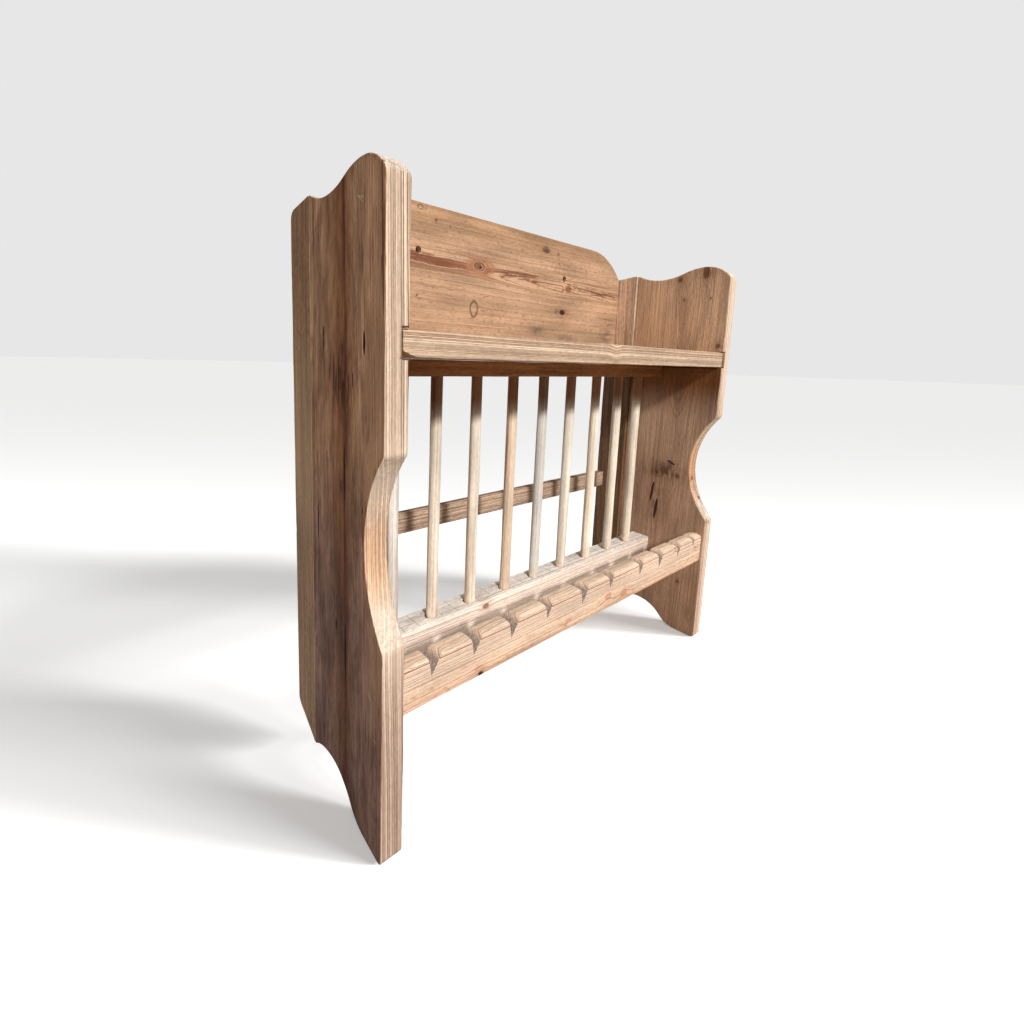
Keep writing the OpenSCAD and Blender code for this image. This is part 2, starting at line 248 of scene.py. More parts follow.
def side_outline():
    """The outline of a side's wide board as (y, z) points: foot, rear edge, top, then down the front."""
    dip_r = arc_r(MAIN_W - DIP_Y, SEAM_TOP - DIP_Z)
    crest_r = arc_r(DIP_Y - CREST_Y, CREST_Z - DIP_Z) - dip_r
    crest_meet = CREST_Y + (DIP_Y - CREST_Y) * crest_r / (crest_r + dip_r)
    arch_front_r = arc_r(ARCH_Y - TOE_Y, ARCH_Z) - TOE_R
    arch_rear_r = arc_r(MAIN_W - ARCH_Y, ARCH_Z - SEAM_FOOT)
    arch_meet = TOE_Y + (ARCH_Y - TOE_Y) * TOE_R / (TOE_R + arch_front_r)
    scoop_r = arc_r(SCOOP_HALF, SCOOP_DEEP)
    foot = [(0.0, 4.0), (1.2, 1.2), (4.0, 0.0)]
    foot += arc(TOE_Y, arch_meet, TOE_Y, TOE_R, TOE_R, -1)
    foot += arc(arch_meet, ARCH_Y, ARCH_Y, ARCH_Z - arch_front_r, arch_front_r, 1)[1:]
    foot += arc(ARCH_Y, MAIN_W, ARCH_Y, ARCH_Z - arch_rear_r, arch_rear_r, 1)[1:]
    top = arc(MAIN_W, crest_meet, DIP_Y, DIP_Z + dip_r, dip_r, -1)
    top += arc(crest_meet, CREST_Y, CREST_Y, CREST_Z - crest_r, crest_r, 1)[1:]
    top += arc(CREST_Y, 0.0, CREST_Y, CREST_Z - CREST_FRONT_R, CREST_FRONT_R, 1)[1:]
    scoop = arc(SCOOP_Z + SCOOP_HALF, SCOOP_Z - SCOOP_HALF, SCOOP_Z, SCOOP_DEEP - scoop_r, scoop_r, 1, 60)
    return foot + top + [(y, z) for z, y in scoop]


outline = side_outline()
print("side outline:", len(outline), "points, highest", round(max(z for _, z in outline), 1), "mm")


# %% [markdown]
# ## Cutting a board
# The shelf's ends are let into grooves in the sides, and the screws and nails go into holes. A Boolean
# modifier takes a box or a short cylinder out of the worn board, as a chisel and a drill do. The result
# replaces the mesh, so that no modifier stays on the piece.


# %% Cutters
def cutter_box(lows, highs):
    """A box between two bench points."""
    x, y, z = zip(lows, highs)
    points = [(x[i], y[j], z[k]) for i in (0, 1) for j in (0, 1) for k in (0, 1)]
    faces = [(0, 1, 3, 2), (4, 6, 7, 5), (0, 4, 5, 1), (2, 3, 7, 6), (0, 2, 6, 4), (1, 5, 7, 3)]
    return points, faces


def cutter_drum(centre, axis, radius, start, end, sides=28):
    """A cylinder along bench axis 0, 1 or 2, from start to end on that axis."""
    points = []
    others = [k for k in (0, 1, 2) if k != axis]
    for level in (start, end):
        for turn in np.linspace(0, 2 * math.pi, sides, endpoint=False):
            point = [0.0, 0.0, 0.0]
            point[axis] = level
            point[others[0]] = centre[0] + radius * math.cos(turn)
            point[others[1]] = centre[1] + radius * math.sin(turn)
            points.append(point)
    faces = [(k, (k + 1) % sides, sides + (k + 1) % sides, sides + k) for k in range(sides)]
    return points, faces + [tuple(range(sides)), tuple(range(2 * sides - 1, sides - 1, -1))]


def plain(piece):
    """The piece with its modifiers worked into a plain mesh."""
    found = piece.evaluated_get(bpy.context.evaluated_depsgraph_get())
    mesh = bpy.data.meshes.new_from_object(found)
    piece.modifiers.clear()
    piece.data = mesh
    return piece


def cut(piece, shapes):
    """Takes each (points, faces) shape out of the piece."""
    points, faces = [], []
    for more, sides in shapes:
        faces += [tuple(len(points) + k for k in side) for side in sides]
        points += list(more)
    tool = as_piece("cutter", points, faces, np.zeros(len(points)))
    for face in tool.data.polygons:
        face.use_smooth = False
    step = piece.modifiers.new("cut", "BOOLEAN")
    step.object, step.operation, step.solver = tool, "DIFFERENCE", "EXACT"
    bpy.context.view_layer.update()
    plain(piece)
    bpy.data.objects.remove(tool)
    return piece


print("cutters ready")

# %% [markdown]
# ## The four upright boards
# Each side is two boards glued edge to edge. The front one has the outline; the rear one is narrow, a
# little thicker, and its foot slopes up. The right side is the left one mirrored, with other seeds, so
# that no chip repeats. The two shelf nails on each side sit in slits that the punch split open.

# %% Sides and rear boards
SHELF_Z, SHELF_T, SHELF_BACK = 479.0, 24.6, 196.5
GROOVE_FLOOR = SIDE_T - 8.1
REAR_OUTLINE = [(160.1, 13.0), (210.0, 33.0), (216.0, 39.0), (216.0, 634.0), (210.0, 640.0), (160.1, 644.0)]
SLITS = ((35.4, 484.2, 13.6), (125, 488.3, 19))  # y, lowest z, length


def stand_up(points, mirror):
    """A flat board's (y, z, depth) points as bench points, at the left or mirrored to the right."""
    x = RACK_W - points[:, 2] if mirror else points[:, 2]
    return np.column_stack([x, points[:, 0], points[:, 1]])


def at_side(shapes, mirror):
    """Cutters written for the left side, mirrored where they are for the right."""
    if not mirror:
        return shapes
    return [([(RACK_W - x, y, z) for x, y, z in points], faces) for points, faces in shapes]


def groove(front, reach, slack):
    """The cutter for the shelf's groove, from the front to the shelf's back."""
    low, high = SHELF_Z - slack, SHELF_Z + SHELF_T + slack
    return cutter_box((GROOVE_FLOOR, front, low), (reach, SHELF_BACK, high))


pieces = {}
for side, mirror, seed in (("left", False, 1), ("right", True, 21)):
    points, faces, edge = sawn_board(outline, 0.0, SIDE_T, 1.4, seed, softening=1)
    board = as_piece(side + "_side_worn", stand_up(points, mirror), faces, edge)
    settle(board, 0.5, 55, seed)
    slits = [cutter_box((-5, y - 0.7, z), (1.6, y + 0.7, z + long)) for y, z, long in SLITS]
    pieces[side + "_side"] = cut(board, at_side([groove(-10, SIDE_T + 20, 0.9)] + slits, mirror))
    points, faces, edge = sawn_board(REAR_OUTLINE, 0.0, STILE_T, 1.1, seed + 2, softening=2)
    board = as_piece(side + "_rear_board_worn", stand_up(points, mirror), faces, edge)
    settle(board, 0.4, 60, seed + 4)
    pieces[side + "_rear_board"] = cut(board, at_side([groove(150, STILE_T + 5, 0.6)], mirror))
print("upright boards:", {name: len(piece.data.polygons) for name, piece in pieces.items()})

# %% [markdown]
# ## The back board
# One wide board stands behind the shelf, its upper corners rounded. Two screws go through it into the
# wall. From behind, five nail heads show where it is nailed to the shelf's rear edge.

# %% Back board
BACK_X0, BACK_X1, BACK_TOP, CORNER_R, CORNER_IN = 29.9, 625.1, 682.0, 112.0, 23.0
SCREW_X, SCREW_R = (161.5, 461.5), 3.0
arc_x = CORNER_R - CORNER_IN
arc_z = BACK_TOP - CORNER_R
right_arc = []
for t in np.linspace(0, 1, 30):
    x = (BACK_X1 - arc_x) + arc_x * math.cos(t * math.pi / 2)
    right_arc.append((x, arc_z + math.sqrt(max(0, CORNER_R**2 - (x - BACK_X1 + arc_x) ** 2))))
left_arc = [(BACK_X0 + BACK_X1 - x, z) for x, z in reversed(right_arc)]
back_outline = [(BACK_X0, SHELF_Z), (BACK_X1, SHELF_Z)] + right_arc + left_arc
points, faces, edge = sawn_board(back_outline, SHELF_BACK, RACK_D, 1.3, 41, softening=3, fill_step=6.0)
board = as_piece("back_board_worn", points[:, [0, 2, 1]], faces, edge)
settle(board, 0.5, 80, 43)
screws = [cutter_drum((x, SCREW_Z), 1, SCREW_R, 180, 230) for x in SCREW_X]
back_nails = [STILE_T + (RACK_W - 2 * STILE_T) * (i + 0.5) / 5 for i in range(5)]
pockets = [cutter_box((x - 3.6, 214.6, 488.8), (x + 3.6, 220, 493.8)) for x in back_nails]
pieces["back_board"] = cut(board, screws + pockets)
print("back board faces:", len(pieces["back_board"].data.polygons))

# %% [markdown]
# ## Squared bars
# The shelf and the four rails are squared lengths of pine. Each is drawn as a row of sections along x.
# The four long arrises have their own rounding, which wanders along the bar, and the ends turn in the
# same way. A last step may reshape the points, which is how the front rail gets its notches.


# %% The bar builder
def on_corner(corner, radius, degrees):
    """The point (y, z) at that angle of a rounded corner."""
    y, z, inward_y, inward_z = corner
    turn = math.radians(degrees)
    centre = np.array([y + inward_y * radius, z + inward_z * radius])
    return centre + radius * np.array([math.cos(turn), math.sin(turn)])


def squared_bar(size, wear, seed, stations, shape, pitch, end=0.8):
    """Points, faces and arris distances. wear is for the front-low, rear-low, rear-high and front-high."""
    x0, x1, y0, y1, z0, z1 = size
    inner = np.asarray(stations, float)
    turns = np.radians([0, 30, 60, 90])
    low_end = [(x0 + end * (1 - math.cos(t)), end * (1 - math.sin(t))) for t in turns]
    high_end = [(x1 - end * (1 - math.cos(t)), end * (1 - math.sin(t))) for t in turns[::-1]]
    inner = inner[(inner > x0 + end + 0.2) & (inner < x1 - end - 0.2)]
    rows = low_end + [(x, 0.0) for x in inner] + high_end
    spots = np.array([[x, 0.0] for x, _ in rows])
    radii = []
    for k, usual in enumerate(wear):
        chips = 0.9 * usual * np.clip(wander(spots, 13, seed + 31 + k) - 0.35, 0, 1) * 2
        radii.append(usual * (1 + 0.4 * wander(spots, 45, seed + k)) + chips)
    corners = ((y0, z0, 1, 1), (y1, z0, -1, 1), (y1, z1, -1, -1), (y0, z1, 1, -1))
    across, up = max(2, int((y1 - y0) / pitch)), max(2, int((z1 - z0) / pitch))
    middle = np.array([(y0 + y1) / 2, (z0 + z1) / 2])
    half = np.array([(y1 - y0) / 2, (z1 - z0) / 2])
    sections = []
    for i, (x, inset) in enumerate(rows):
        ring = []
        for k, gap in enumerate((across, up, across, up)):
            start, after = (180 + 90 * k) % 360, (k + 1) % 4
            ring += [on_corner(corners[k], radii[k][i], start + more) for more in (0, 22.5, 45, 67.5, 90)]
            here, there = ring[-1], on_corner(corners[after], radii[after][i], start + 90)
            ring += [here + (there - here) * n / gap for n in range(1, gap)]
        ring = middle + (np.array(ring) - middle) * (1 - inset / half)
        sections.append(np.column_stack([np.full(len(ring), x), ring]))
    points = np.array(sections)
    lows, highs = np.array([x0, y0, z0]), np.array([x1, y1, z1])
    edge = np.sort(np.minimum(points - lows, highs - points), axis=-1)[..., 1].ravel()
    if shape:
        points = shape(points)
    rows, count, _ = points.shape
    faces = [
        (i * count + j, (i + 1) * count + j, (i + 1) * count + (j + 1) % count, i * count + (j + 1) % count)
        for i in range(rows - 1)
        for j in range(count)
    ]
    faces += [tuple(range(count)), tuple(range((rows - 1) * count, rows * count))[::-1]]
    return points.reshape(-1, 3), faces, edge


print("bar builder ready")


# %% [markdown]
# ## The shelf and the plain rails
# The shelf's lower front corner at the left has been knocked off, so its section is pressed up there. The
# lower dowel rail is worn round along its top front arris, where plates have rubbed it.

# %% Shelf and plain rails
BETWEEN_SIDES = (24.7, 630.3)


def knocked_corner(points):
    """Presses the shelf's lower front corner up by up to 6.8 mm at its left end."""
    x, y, z = points[..., 0], points[..., 1], points[..., 2]
    lift = 6.8 * np.clip(1 - (x - 16.6) / 19, 0, 1) * np.clip(1 - (y - 2.5) / 14, 0, 1)
    points[..., 2] = np.maximum(z, np.minimum(SHELF_Z + lift, SHELF_Z + 12))
    return points


# Each bar: its ends in x, its other sides in y and z, the wear of its arrises, its seed, its step along x.
bars = {
    "shelf": ((16.6, 638.4), (2.5, 196.4, SHELF_Z, SHELF_Z + SHELF_T), (1.6, 0.8, 0.8, 2.0), 61, 4),
    "lower_dowel_rail": (BETWEEN_SIDES, (97.0, 131.0, 117.5, 157.5), (1.2, 1.2, 1.2, 3.0), 71, 3),
    "top_dowel_rail": (BETWEEN_SIDES, (99.0, 129.0, 459.4, 479.0), (1.0, 1.0, 0.8, 0.8), 81, 6),
    "low_back_rail": ((BACK_X0, BACK_X1), (201.0, 216.0, 233.5, 262.5), (1.4, 1.0, 1.0, 1.4), 91, 4),
}
for name, (ends, sides, wear, seed, step) in bars.items():
    shape, pitch = (knocked_corner, 5.0) if name == "shelf" else (None, 3.0)
    points, faces, edge = squared_bar(ends + sides, wear, seed, np.arange(0, RACK_W, step), shape, pitch)
    pieces[name] = as_piece(name + "_worn", points, faces, edge)
    settle(pieces[name], 0.45, 50, seed)
SOCKET_SHIFT, SOCKET_Y, SOCKET_R, SOCKET_FLOOR = -0.7, 112.5, 8.3, 145
sockets = [cutter_drum((x + SOCKET_SHIFT, SOCKET_Y), 2, SOCKET_R, SOCKET_FLOOR, 170) for x in dowel_x]
cut(pieces["lower_dowel_rail"], sockets)
print("bars:", {name: len(pieces[name].data.polygons) for name in bars})


# %% [markdown]
# ## The notched front rail
# Ten V notches were sawn across the rail by eye: a steep cut on the left and a sloping one on the right.
# Each tooth between two notches has a crowned top, and its left shoulder is rubbed round. The rail starts
# as a squared bar with close sections, and each point above a notch's walls is pressed down onto them. A
# smooth minimum rounds the shoulder where wall and top meet.

# %% Notched front rail
NOTCH_TIPS = [172, 172, 171, 174, 170, 173.5, 172, 169.2, 172.8, 177]
NOTCH_RISE, LEFT_RUN, RIGHT_RUN = 19, 3.0, 12.5
RAIL_Y0, RAIL_Y1, RAIL_Z0, RAIL_Z1 = 3.5, 25.5, 144.5, 189.5


def soft_min(a, b, reach):
    """The smaller of two values, rounded where they are nearly the same."""
    return np.minimum(a, b) - np.maximum(reach - np.abs(a - b), 0) ** 2 / (4 * reach)


def saw_notches(points):
    """Crowns the top of the bar and presses its points down onto the walls of each notch."""
    x, y, z = (points[..., k].copy() for k in range(3))
    middle, half = (RAIL_Y0 + RAIL_Y1) / 2, (RAIL_Y1 - RAIL_Y0) / 2
    flat = points.reshape(-1, 3)
    crown = 2.3 * (1 - ((y - middle) / half) ** 2) * np.clip((z - RAIL_Z1 + 7) / 7, 0, 1)
    waves = 0.5 * wander(flat * np.array([1, 1.5, 0]), 22, 5).reshape(z.shape)
    z = z + crown + waves * np.clip((z - 180) / 8, 0, 1)
    z = z - 0.3 * np.clip((z - 150) / 20, 0, 1)
    rough = 0.35 * wander(flat, 3.2, 9).reshape(z.shape)
    for place, tip in zip(notch_x, NOTCH_TIPS):
        lean = x - place + 0.05 * (y - middle)
        left_wall = tip - lean * NOTCH_RISE / LEFT_RUN
        right_wall = tip + lean * NOTCH_RISE / RIGHT_RUN
        near = (lean > -9) & (lean < 26)
        pressed = soft_min(z, np.maximum(right_wall, tip) + rough, 5.5)
        pressed = np.where(lean < 0, soft_min(z, left_wall + rough, 0.9), pressed)
        floor = tip + rough
        pressed = np.where(z > floor, np.maximum(pressed, np.minimum(floor, z)), z)
        z = np.where(near, pressed, z)
    points[..., 2] = z
    return points


stations = [np.arange(25, 631, 2.0)]
for place in notch_x:
    stations += [np.arange(place - 5, place + 1, 0.35), np.arange(place + 1, place + 20, 0.8), [place]]
stations = np.unique(np.round(np.concatenate(stations), 2))
size = BETWEEN_SIDES + (RAIL_Y0, RAIL_Y1, RAIL_Z0, RAIL_Z1)
points, faces, edge = squared_bar(size, (1.6, 1.0, 1.6, 1.9), 51, stations, saw_notches, 2.4)
pieces["notched_front_rail"] = as_piece("notched_front_rail_worn", points, faces, edge)
print("front rail faces:", len(pieces["notched_front_rail"].data.polygons))

# %% [markdown]
# ## Nine whittled dowels
# The dowels repeat, so one Geometry Nodes tree makes them all. A straight line is resampled and bent a
# little, a circle is swept along it, and noise planes the surface into long flats, as a spokeshave does.
# Each dowel gets its own seed and place. The noise only ever takes wood off, so a dowel still fits its
# socket.


# %% Writing node trees
class Sheet:
    """Writes nodes into a tree, so that a formula reads as one."""

    def __init__(self, tree):
        self.tree = tree

    def add(self, kind, **settings):
        """A new node with its settings."""
        node = self.tree.nodes.new(kind)
        for name, value in settings.items():
            setattr(node, name, value)
        return node

    def feed(self, socket, value):
        """Links another socket to this one, or sets a constant on it."""
        if isinstance(value, bpy.types.NodeSocket):
            self.tree.links.new(value, socket)
        else:
            socket.default_value = value

    def step(self, kind, inputs, **settings):
        """A node with its named inputs fed. Its first output is the answer."""
        node = self.add(kind, **settings)
        for name, value in inputs.items():
            self.feed(node.inputs[name], value)
        return node.outputs[0]

    def math(self, operation, *values, clamp=False):
        node = self.add("ShaderNodeMath", operation=operation, use_clamp=clamp)
        for socket, value in zip(node.inputs, values):
            self.feed(socket, value)
        return node.outputs[0]

    def vector(self, operation, *values):
        node = self.add("ShaderNodeVectorMath", operation=operation)
        sockets = [node.inputs[0], node.inputs["Scale"]] if operation == "SCALE" else node.inputs
        for socket, value in zip(sockets, values):
            self.feed(socket, value)
        single = operation in ("LENGTH", "DOT_PRODUCT")
        return node.outputs["Value" if single else "Vector"]

    def parts(self, vector):
        node = self.add("ShaderNodeSeparateXYZ")
        self.feed(node.inputs[0], vector)
        return tuple(node.outputs)

    def join(self, x, y, z):
        node = self.add("ShaderNodeCombineXYZ")
        for socket, value in zip(node.inputs, (x, y, z)):
            self.feed(socket, value)
        return node.outputs[0]

    def smooth(self, value, start, end, low=0.0, high=1.0):
        """A soft ramp from low at start to high at end."""
        node = self.add("ShaderNodeMapRange", interpolation_type="SMOOTHSTEP")
        for socket, given in zip(node.inputs, (value, start, end, low, high)):
            self.feed(socket, given)
        return node.outputs[0]

    def noise(self, vector, scale=1.0, detail=1.0, rough=0.5, output="Fac"):
        node = self.add("ShaderNodeTexNoise")
        for name, value in (("Vector", vector), ("Scale", scale), ("Detail", detail), ("Roughness", rough)):
            self.feed(node.inputs[name], value)
        return node.outputs[output]

    def blend(self, mask, under, over, mode="MIX"):
        node = self.add("ShaderNodeMix", data_type="RGBA", blend_type=mode)
        for socket, value in zip((node.inputs[0], node.inputs[6], node.inputs[7]), (mask, under, over)):
            self.feed(socket, value)
        return node.outputs[2]


def new_tree(name, kind, inputs, outputs):
    """An empty node group with named sockets: (sheet, inputs by name, output node)."""
    tree = bpy.data.node_groups.new(name, kind)
    for direction, sockets in (("INPUT", inputs), ("OUTPUT", outputs)):
        for label, (shape, value) in sockets.items():
            socket = tree.interface.new_socket(name=label, in_out=direction, socket_type="NodeSocket" + shape)
            if value is not None:
                socket.default_value = value
    sheet = Sheet(tree)
    entry = sheet.add("NodeGroupInput")
    return sheet, entry.outputs, sheet.add("NodeGroupOutput")


print("node sheet ready")

# %% The whittled dowel tree
sheet, given, result = new_tree(
    "Whittled dowel",
    "GeometryNodeTree",
    {
        "Geometry": ("Geometry", None),
        "Length": ("Float", 0.3287),
        "Radius": ("Float", 0.00747),
        "Planed off": ("Float", 0.00035),
        "Bend": ("Float", 0.0012),
        "Foot": ("Vector", (0.0, 0.0, 0.0)),
        "Seed": ("Float", 0.0),
        "Wood": ("Material", None),
    },
    {"Geometry": ("Geometry", None)},
)
line = sheet.step("GeometryNodeCurvePrimitiveLine", {"End": sheet.join(0.0, 0.0, given["Length"])})
line = sheet.step("GeometryNodeResampleCurve", {"Curve": line, "Count": 90})
z = sheet.parts(sheet.add("GeometryNodeInputPosition").outputs[0])[2]
share = sheet.math("DIVIDE", z, given["Length"])
free = sheet.math("MULTIPLY", share, sheet.math("SUBTRACT", 1.0, share))
sway = sheet.noise(sheet.join(given["Seed"], 0.0, sheet.math("MULTIPLY", z, 6.0)), 1.0, 1.0, 0.5, "Color")
sway = sheet.vector("MULTIPLY", sheet.vector("SUBTRACT", sway, (0.5, 0.5, 0.5)), (8.0, 8.0, 0.0))
sway = sheet.vector("SCALE", sway, sheet.math("MULTIPLY", free, given["Bend"]))
line = sheet.step("GeometryNodeSetPosition", {"Geometry": line, "Offset": sway})
ring = sheet.step("GeometryNodeCurvePrimitiveCircle", {"Resolution": 28, "Radius": given["Radius"]})
rod = sheet.step("GeometryNodeCurveToMesh", {"Curve": line, "Profile Curve": ring, "Fill Caps": True})
place = sheet.add("GeometryNodeInputPosition").outputs[0]
long_way = sheet.vector("MULTIPLY", place, (150.0, 150.0, 9.0))
long_way = sheet.vector("ADD", long_way, sheet.join(0.0, 0.0, given["Seed"]))
flats = sheet.smooth(sheet.noise(long_way, 1.0, 1.0), 0.35, 0.7)
up = sheet.math("MULTIPLY", sheet.parts(place)[2], 14.0)
swell = sheet.noise(sheet.join(given["Seed"], 3.0, up), 1.0, 0.0)
taken = sheet.math("MULTIPLY", sheet.math("ADD", flats, swell), given["Planed off"])
outward = sheet.add("GeometryNodeInputNormal").outputs[0]
inward = sheet.vector("SCALE", outward, sheet.math("MULTIPLY", taken, -1.0))
inward = sheet.vector("MULTIPLY", inward, (1.0, 1.0, 0.0))
for offset in (inward, given["Foot"]):
    rod = sheet.step("GeometryNodeSetPosition", {"Geometry": rod, "Offset": offset})
rod = sheet.step("GeometryNodeSetShadeSmooth", {"Geometry": rod})
rod = sheet.step("GeometryNodeRealizeInstances", {"Geometry": rod})
rod = sheet.step("GeometryNodeSetMaterial", {"Geometry": rod, "Material": given["Wood"]})
sheet.feed(result.inputs["Geometry"], rod)
dowel_tree = sheet.tree
print("dowel tree nodes:", len(dowel_tree.nodes))


# %% Making the dowels
def grow(name, tree, values, start=None):
    """A plain mesh object from a geometry tree, its inputs set by socket identifier."""
    piece = bpy.data.objects.new(name, start or bpy.data.meshes.new(name))
    bpy.context.scene.collection.objects.link(piece)
    modifier = piece.modifiers.new("tree", "NODES")
    modifier.node_group = tree
    for item in tree.interface.items_tree:
        if item.in_out == "INPUT" and item.name in values:
            modifier[item.identifier] = values[item.name]
    bpy.context.view_layer.update()
    return plain(piece)


DOWEL_Y, DOWEL_FOOT, DOWEL_LONG = 112.0, 142.7, 471.2 - 142.7
for i, x in enumerate(dowel_x):
    foot = BENCH_ZERO + np.array([x, DOWEL_Y, DOWEL_FOOT]) * 0.001
    name = f"dowel_{i + 1}"
    pieces[name] = grow(
        name + "_whittled",
        dowel_tree,
        {"Length": DOWEL_LONG * 0.001, "Foot": [float(v) for v in foot], "Seed": 3.7 * i + 1.3},
    )
print("dowels:", [len(pieces[f"dowel_{i + 1}"].data.polygons) for i in range(9)])

# %% [markdown]
# ## Cut nails
# The boards are held by cut nails: a flat tapered shank with a small oblong head. They repeat too, so a
# second tree sets one nail on each point of a list. A point keeps the direction in which it is driven. The
# heads are punched just below the wood, and only those in open slits or pockets can be seen.

# %% The nail tree
sheet, given, result = new_tree(
    "Cut nails",
    "GeometryNodeTree",
    {
        "Geometry": ("Geometry", None),
        "Length": ("Float", 0.05),
        "Head width": ("Float", 0.0028),
        "Head length": ("Float", 0.0066),
        "Iron": ("Material", None),
    },
    {"Geometry": ("Geometry", None)},
)
head = sheet.join(given["Head width"], given["Head length"], 0.0012)
head = sheet.step("GeometryNodeMeshCube", {"Size": head})
head = sheet.step("GeometryNodeSubdivideMesh", {"Mesh": head, "Level": 2})
place = sheet.add("GeometryNodeInputPosition").outputs[0]
dents = sheet.noise(sheet.vector("SCALE", place, 700.0), 1.0, 1.0, 0.5, "Color")
dents = sheet.vector("SCALE", sheet.vector("SUBTRACT", dents, (0.5, 0.5, 0.5)), 0.0005)
head = sheet.step("GeometryNodeSetPosition", {"Geometry": head, "Offset": dents})
taper = {"Vertices": 4, "Radius Top": 0.0005, "Radius Bottom": 0.0019, "Depth": given["Length"]}
shank = sheet.step("GeometryNodeMeshCone", taper)
down = {"Geometry": shank, "Rotation": (math.pi, 0.0, math.pi / 4)}
both = sheet.add("GeometryNodeJoinGeometry")
sheet.feed(both.inputs[0], head)
sheet.feed(both.inputs[0], sheet.step("GeometryNodeTransform", down))
aim = sheet.add("GeometryNodeInputNamedAttribute", data_type="FLOAT_VECTOR")
aim.inputs["Name"].default_value = "drive"
turn = {"Vector": aim.outputs[0]}
turn = sheet.step("FunctionNodeAlignRotationToVector", turn, axis="Z", pivot_axis="AUTO")
dots = sheet.step("GeometryNodeMeshToPoints", {"Mesh": given["Geometry"]})
nails = {"Points": dots, "Instance": both.outputs[0], "Rotation": turn}
nails = sheet.step("GeometryNodeInstanceOnPoints", nails)
nails = sheet.step("GeometryNodeRealizeInstances", {"Geometry": nails})
nails = sheet.step("GeometryNodeSetMaterial", {"Geometry": nails, "Material": given["Iron"]})
sheet.feed(result.inputs["Geometry"], nails)
nail_tree = sheet.tree
print("nail tree nodes:", len(nail_tree.nodes))


# %% Driving the nails
def both_sides(spots, depth):
    """Points on the two outer faces, each with its drive direction, a little under the surface."""
    left = [((depth, y, z), (-1, 0, 0)) for y, z in spots]
    return left + [((RACK_W - depth, y, z), (1, 0, 0)) for y, z in spots]


nail_sets = {
    "shelf_nails": both_sides([(35.4, 491), (125, 497.5)], 1.7),
    "front_rail_nails": both_sides([(14.5, 154.5), (14.5, 170.5)], 1.9),
    "lower_rail_nails": both_sides([(106, 137.5), (122, 137.5)], 1.9),
    "top_rail_nails": both_sides([(106, 469.2), (122, 469.2)], 1.9),
    "back_rail_nails": both_sides([(208.5, 248)], 1.9),
    "back_board_end_nails": both_sides([(206.2, 530), (206.2, 605)], 1.9),
    "back_board_nails": [((x, 215.0, 491.3), (0, 1, 0)) for x in back_nails],
}
for name, spots in nail_sets.items():
    start = bpy.data.meshes.new(name)
    start.from_pydata((np.array([p for p, _ in spots]) * 0.001 + BENCH_ZERO).tolist(), [], [])
    drive = start.attributes.new("drive", "FLOAT_VECTOR", "POINT")
    drive.data.foreach_set("vector", np.array([d for _, d in spots], np.float32).ravel())
    length = 0.034 if name in ("front_rail_nails", "back_board_nails") else 0.048
    pieces[name] = grow(name + "_cut", nail_tree, {"Length": length}, start)
print("nail sets:", {name: len(pieces[name].data.polygons) for name in nail_sets})

# %% [markdown]
# ## How pine is drawn
# A board is a slice of a trunk, so the pattern is worked out in space, not painted on each face. The
# distance to the trunk's pith, divided by the ring width, counts the rings. Each ring goes slowly from
# pale early wood to brown late wood and then stops short, which is what makes pine look like pine. The
# same formula gives broad figure on a face, close lines on an edge and arcs on an end, and they meet at
# the arrises as in real wood. The group gives masks only, and each board mixes its own colours with them.

# %% The pine rings group
sheet, given, result = new_tree(
    "Pine rings",
    "ShaderNodeTree",
    {
        "Board": ("Vector", None),
        "Pith across": ("Float", 0.08),
        "Pith deep": ("Float", -0.06),
        "Lean": ("Float", 0.01),
        "Ring width": ("Float", 0.002),
        "Wander": ("Float", 0.006),
        "Push": ("Float", 0.0),
        "Seed": ("Float", 0.0),
    },
    {"Late": ("Float", None), "Tone": ("Float", None), "Fibre": ("Float", None), "Mottle": ("Float", None)},
)
board = sheet.vector("ADD", given["Board"], sheet.join(given["Seed"], 0.0, 0.0))
along, across, deep = sheet.parts(given["Board"])
sway = sheet.noise(sheet.vector("MULTIPLY", board, (2.6, 15.0, 15.0)), 1.0, 2.0, 0.45, "Color")
sway_across, sway_deep, _ = sheet.parts(sheet.vector("SUBTRACT", sway, (0.5, 0.5, 0.5)))
across = sheet.math("SUBTRACT", across, given["Pith across"])
deep = sheet.math("SUBTRACT", deep, given["Pith deep"])
side = sheet.math("ADD", across, sheet.math("MULTIPLY", sway_across, given["Wander"]))
depth = sheet.math("ADD", deep, sheet.math("MULTIPLY", sway_deep, given["Wander"]))
depth = sheet.math("ADD", depth, sheet.math("MULTIPLY", along, given["Lean"]))
squares = sheet.math("ADD", sheet.math("MULTIPLY", side, side), sheet.math("MULTIPLY", depth, depth))
reach = sheet.math("SQRT", squares)
count = sheet.math("DIVIDE", sheet.math("ADD", reach, given["Push"]), given["Ring width"])
years = sheet.add("ShaderNodeTexNoise", noise_dimensions="1D")
sheet.feed(years.inputs["W"], sheet.math("MULTIPLY_ADD", count, 0.31, given["Seed"]))
years.inputs["Detail"].default_value = 1.0
count = sheet.math("ADD", count, sheet.math("MULTIPLY", years.outputs["Fac"], 3.4))
part = sheet.math("FRACT", count)
late = sheet.math("MULTIPLY", sheet.smooth(part, 0.48, 0.82), sheet.smooth(part, 1.0, 0.94))
year = sheet.add("ShaderNodeTexWhiteNoise", noise_dimensions="1D")
sheet.feed(year.inputs["W"], sheet.math("ADD", sheet.math("FLOOR", count), given["Seed"]))
fine = sheet.noise(sheet.vector("MULTIPLY", board, (130.0, 620.0, 620.0)), 1.0, 2.0, 0.6)
streak = sheet.noise(sheet.vector("MULTIPLY", board, (5.0, 260.0, 260.0)), 1.0, 2.0, 0.7)
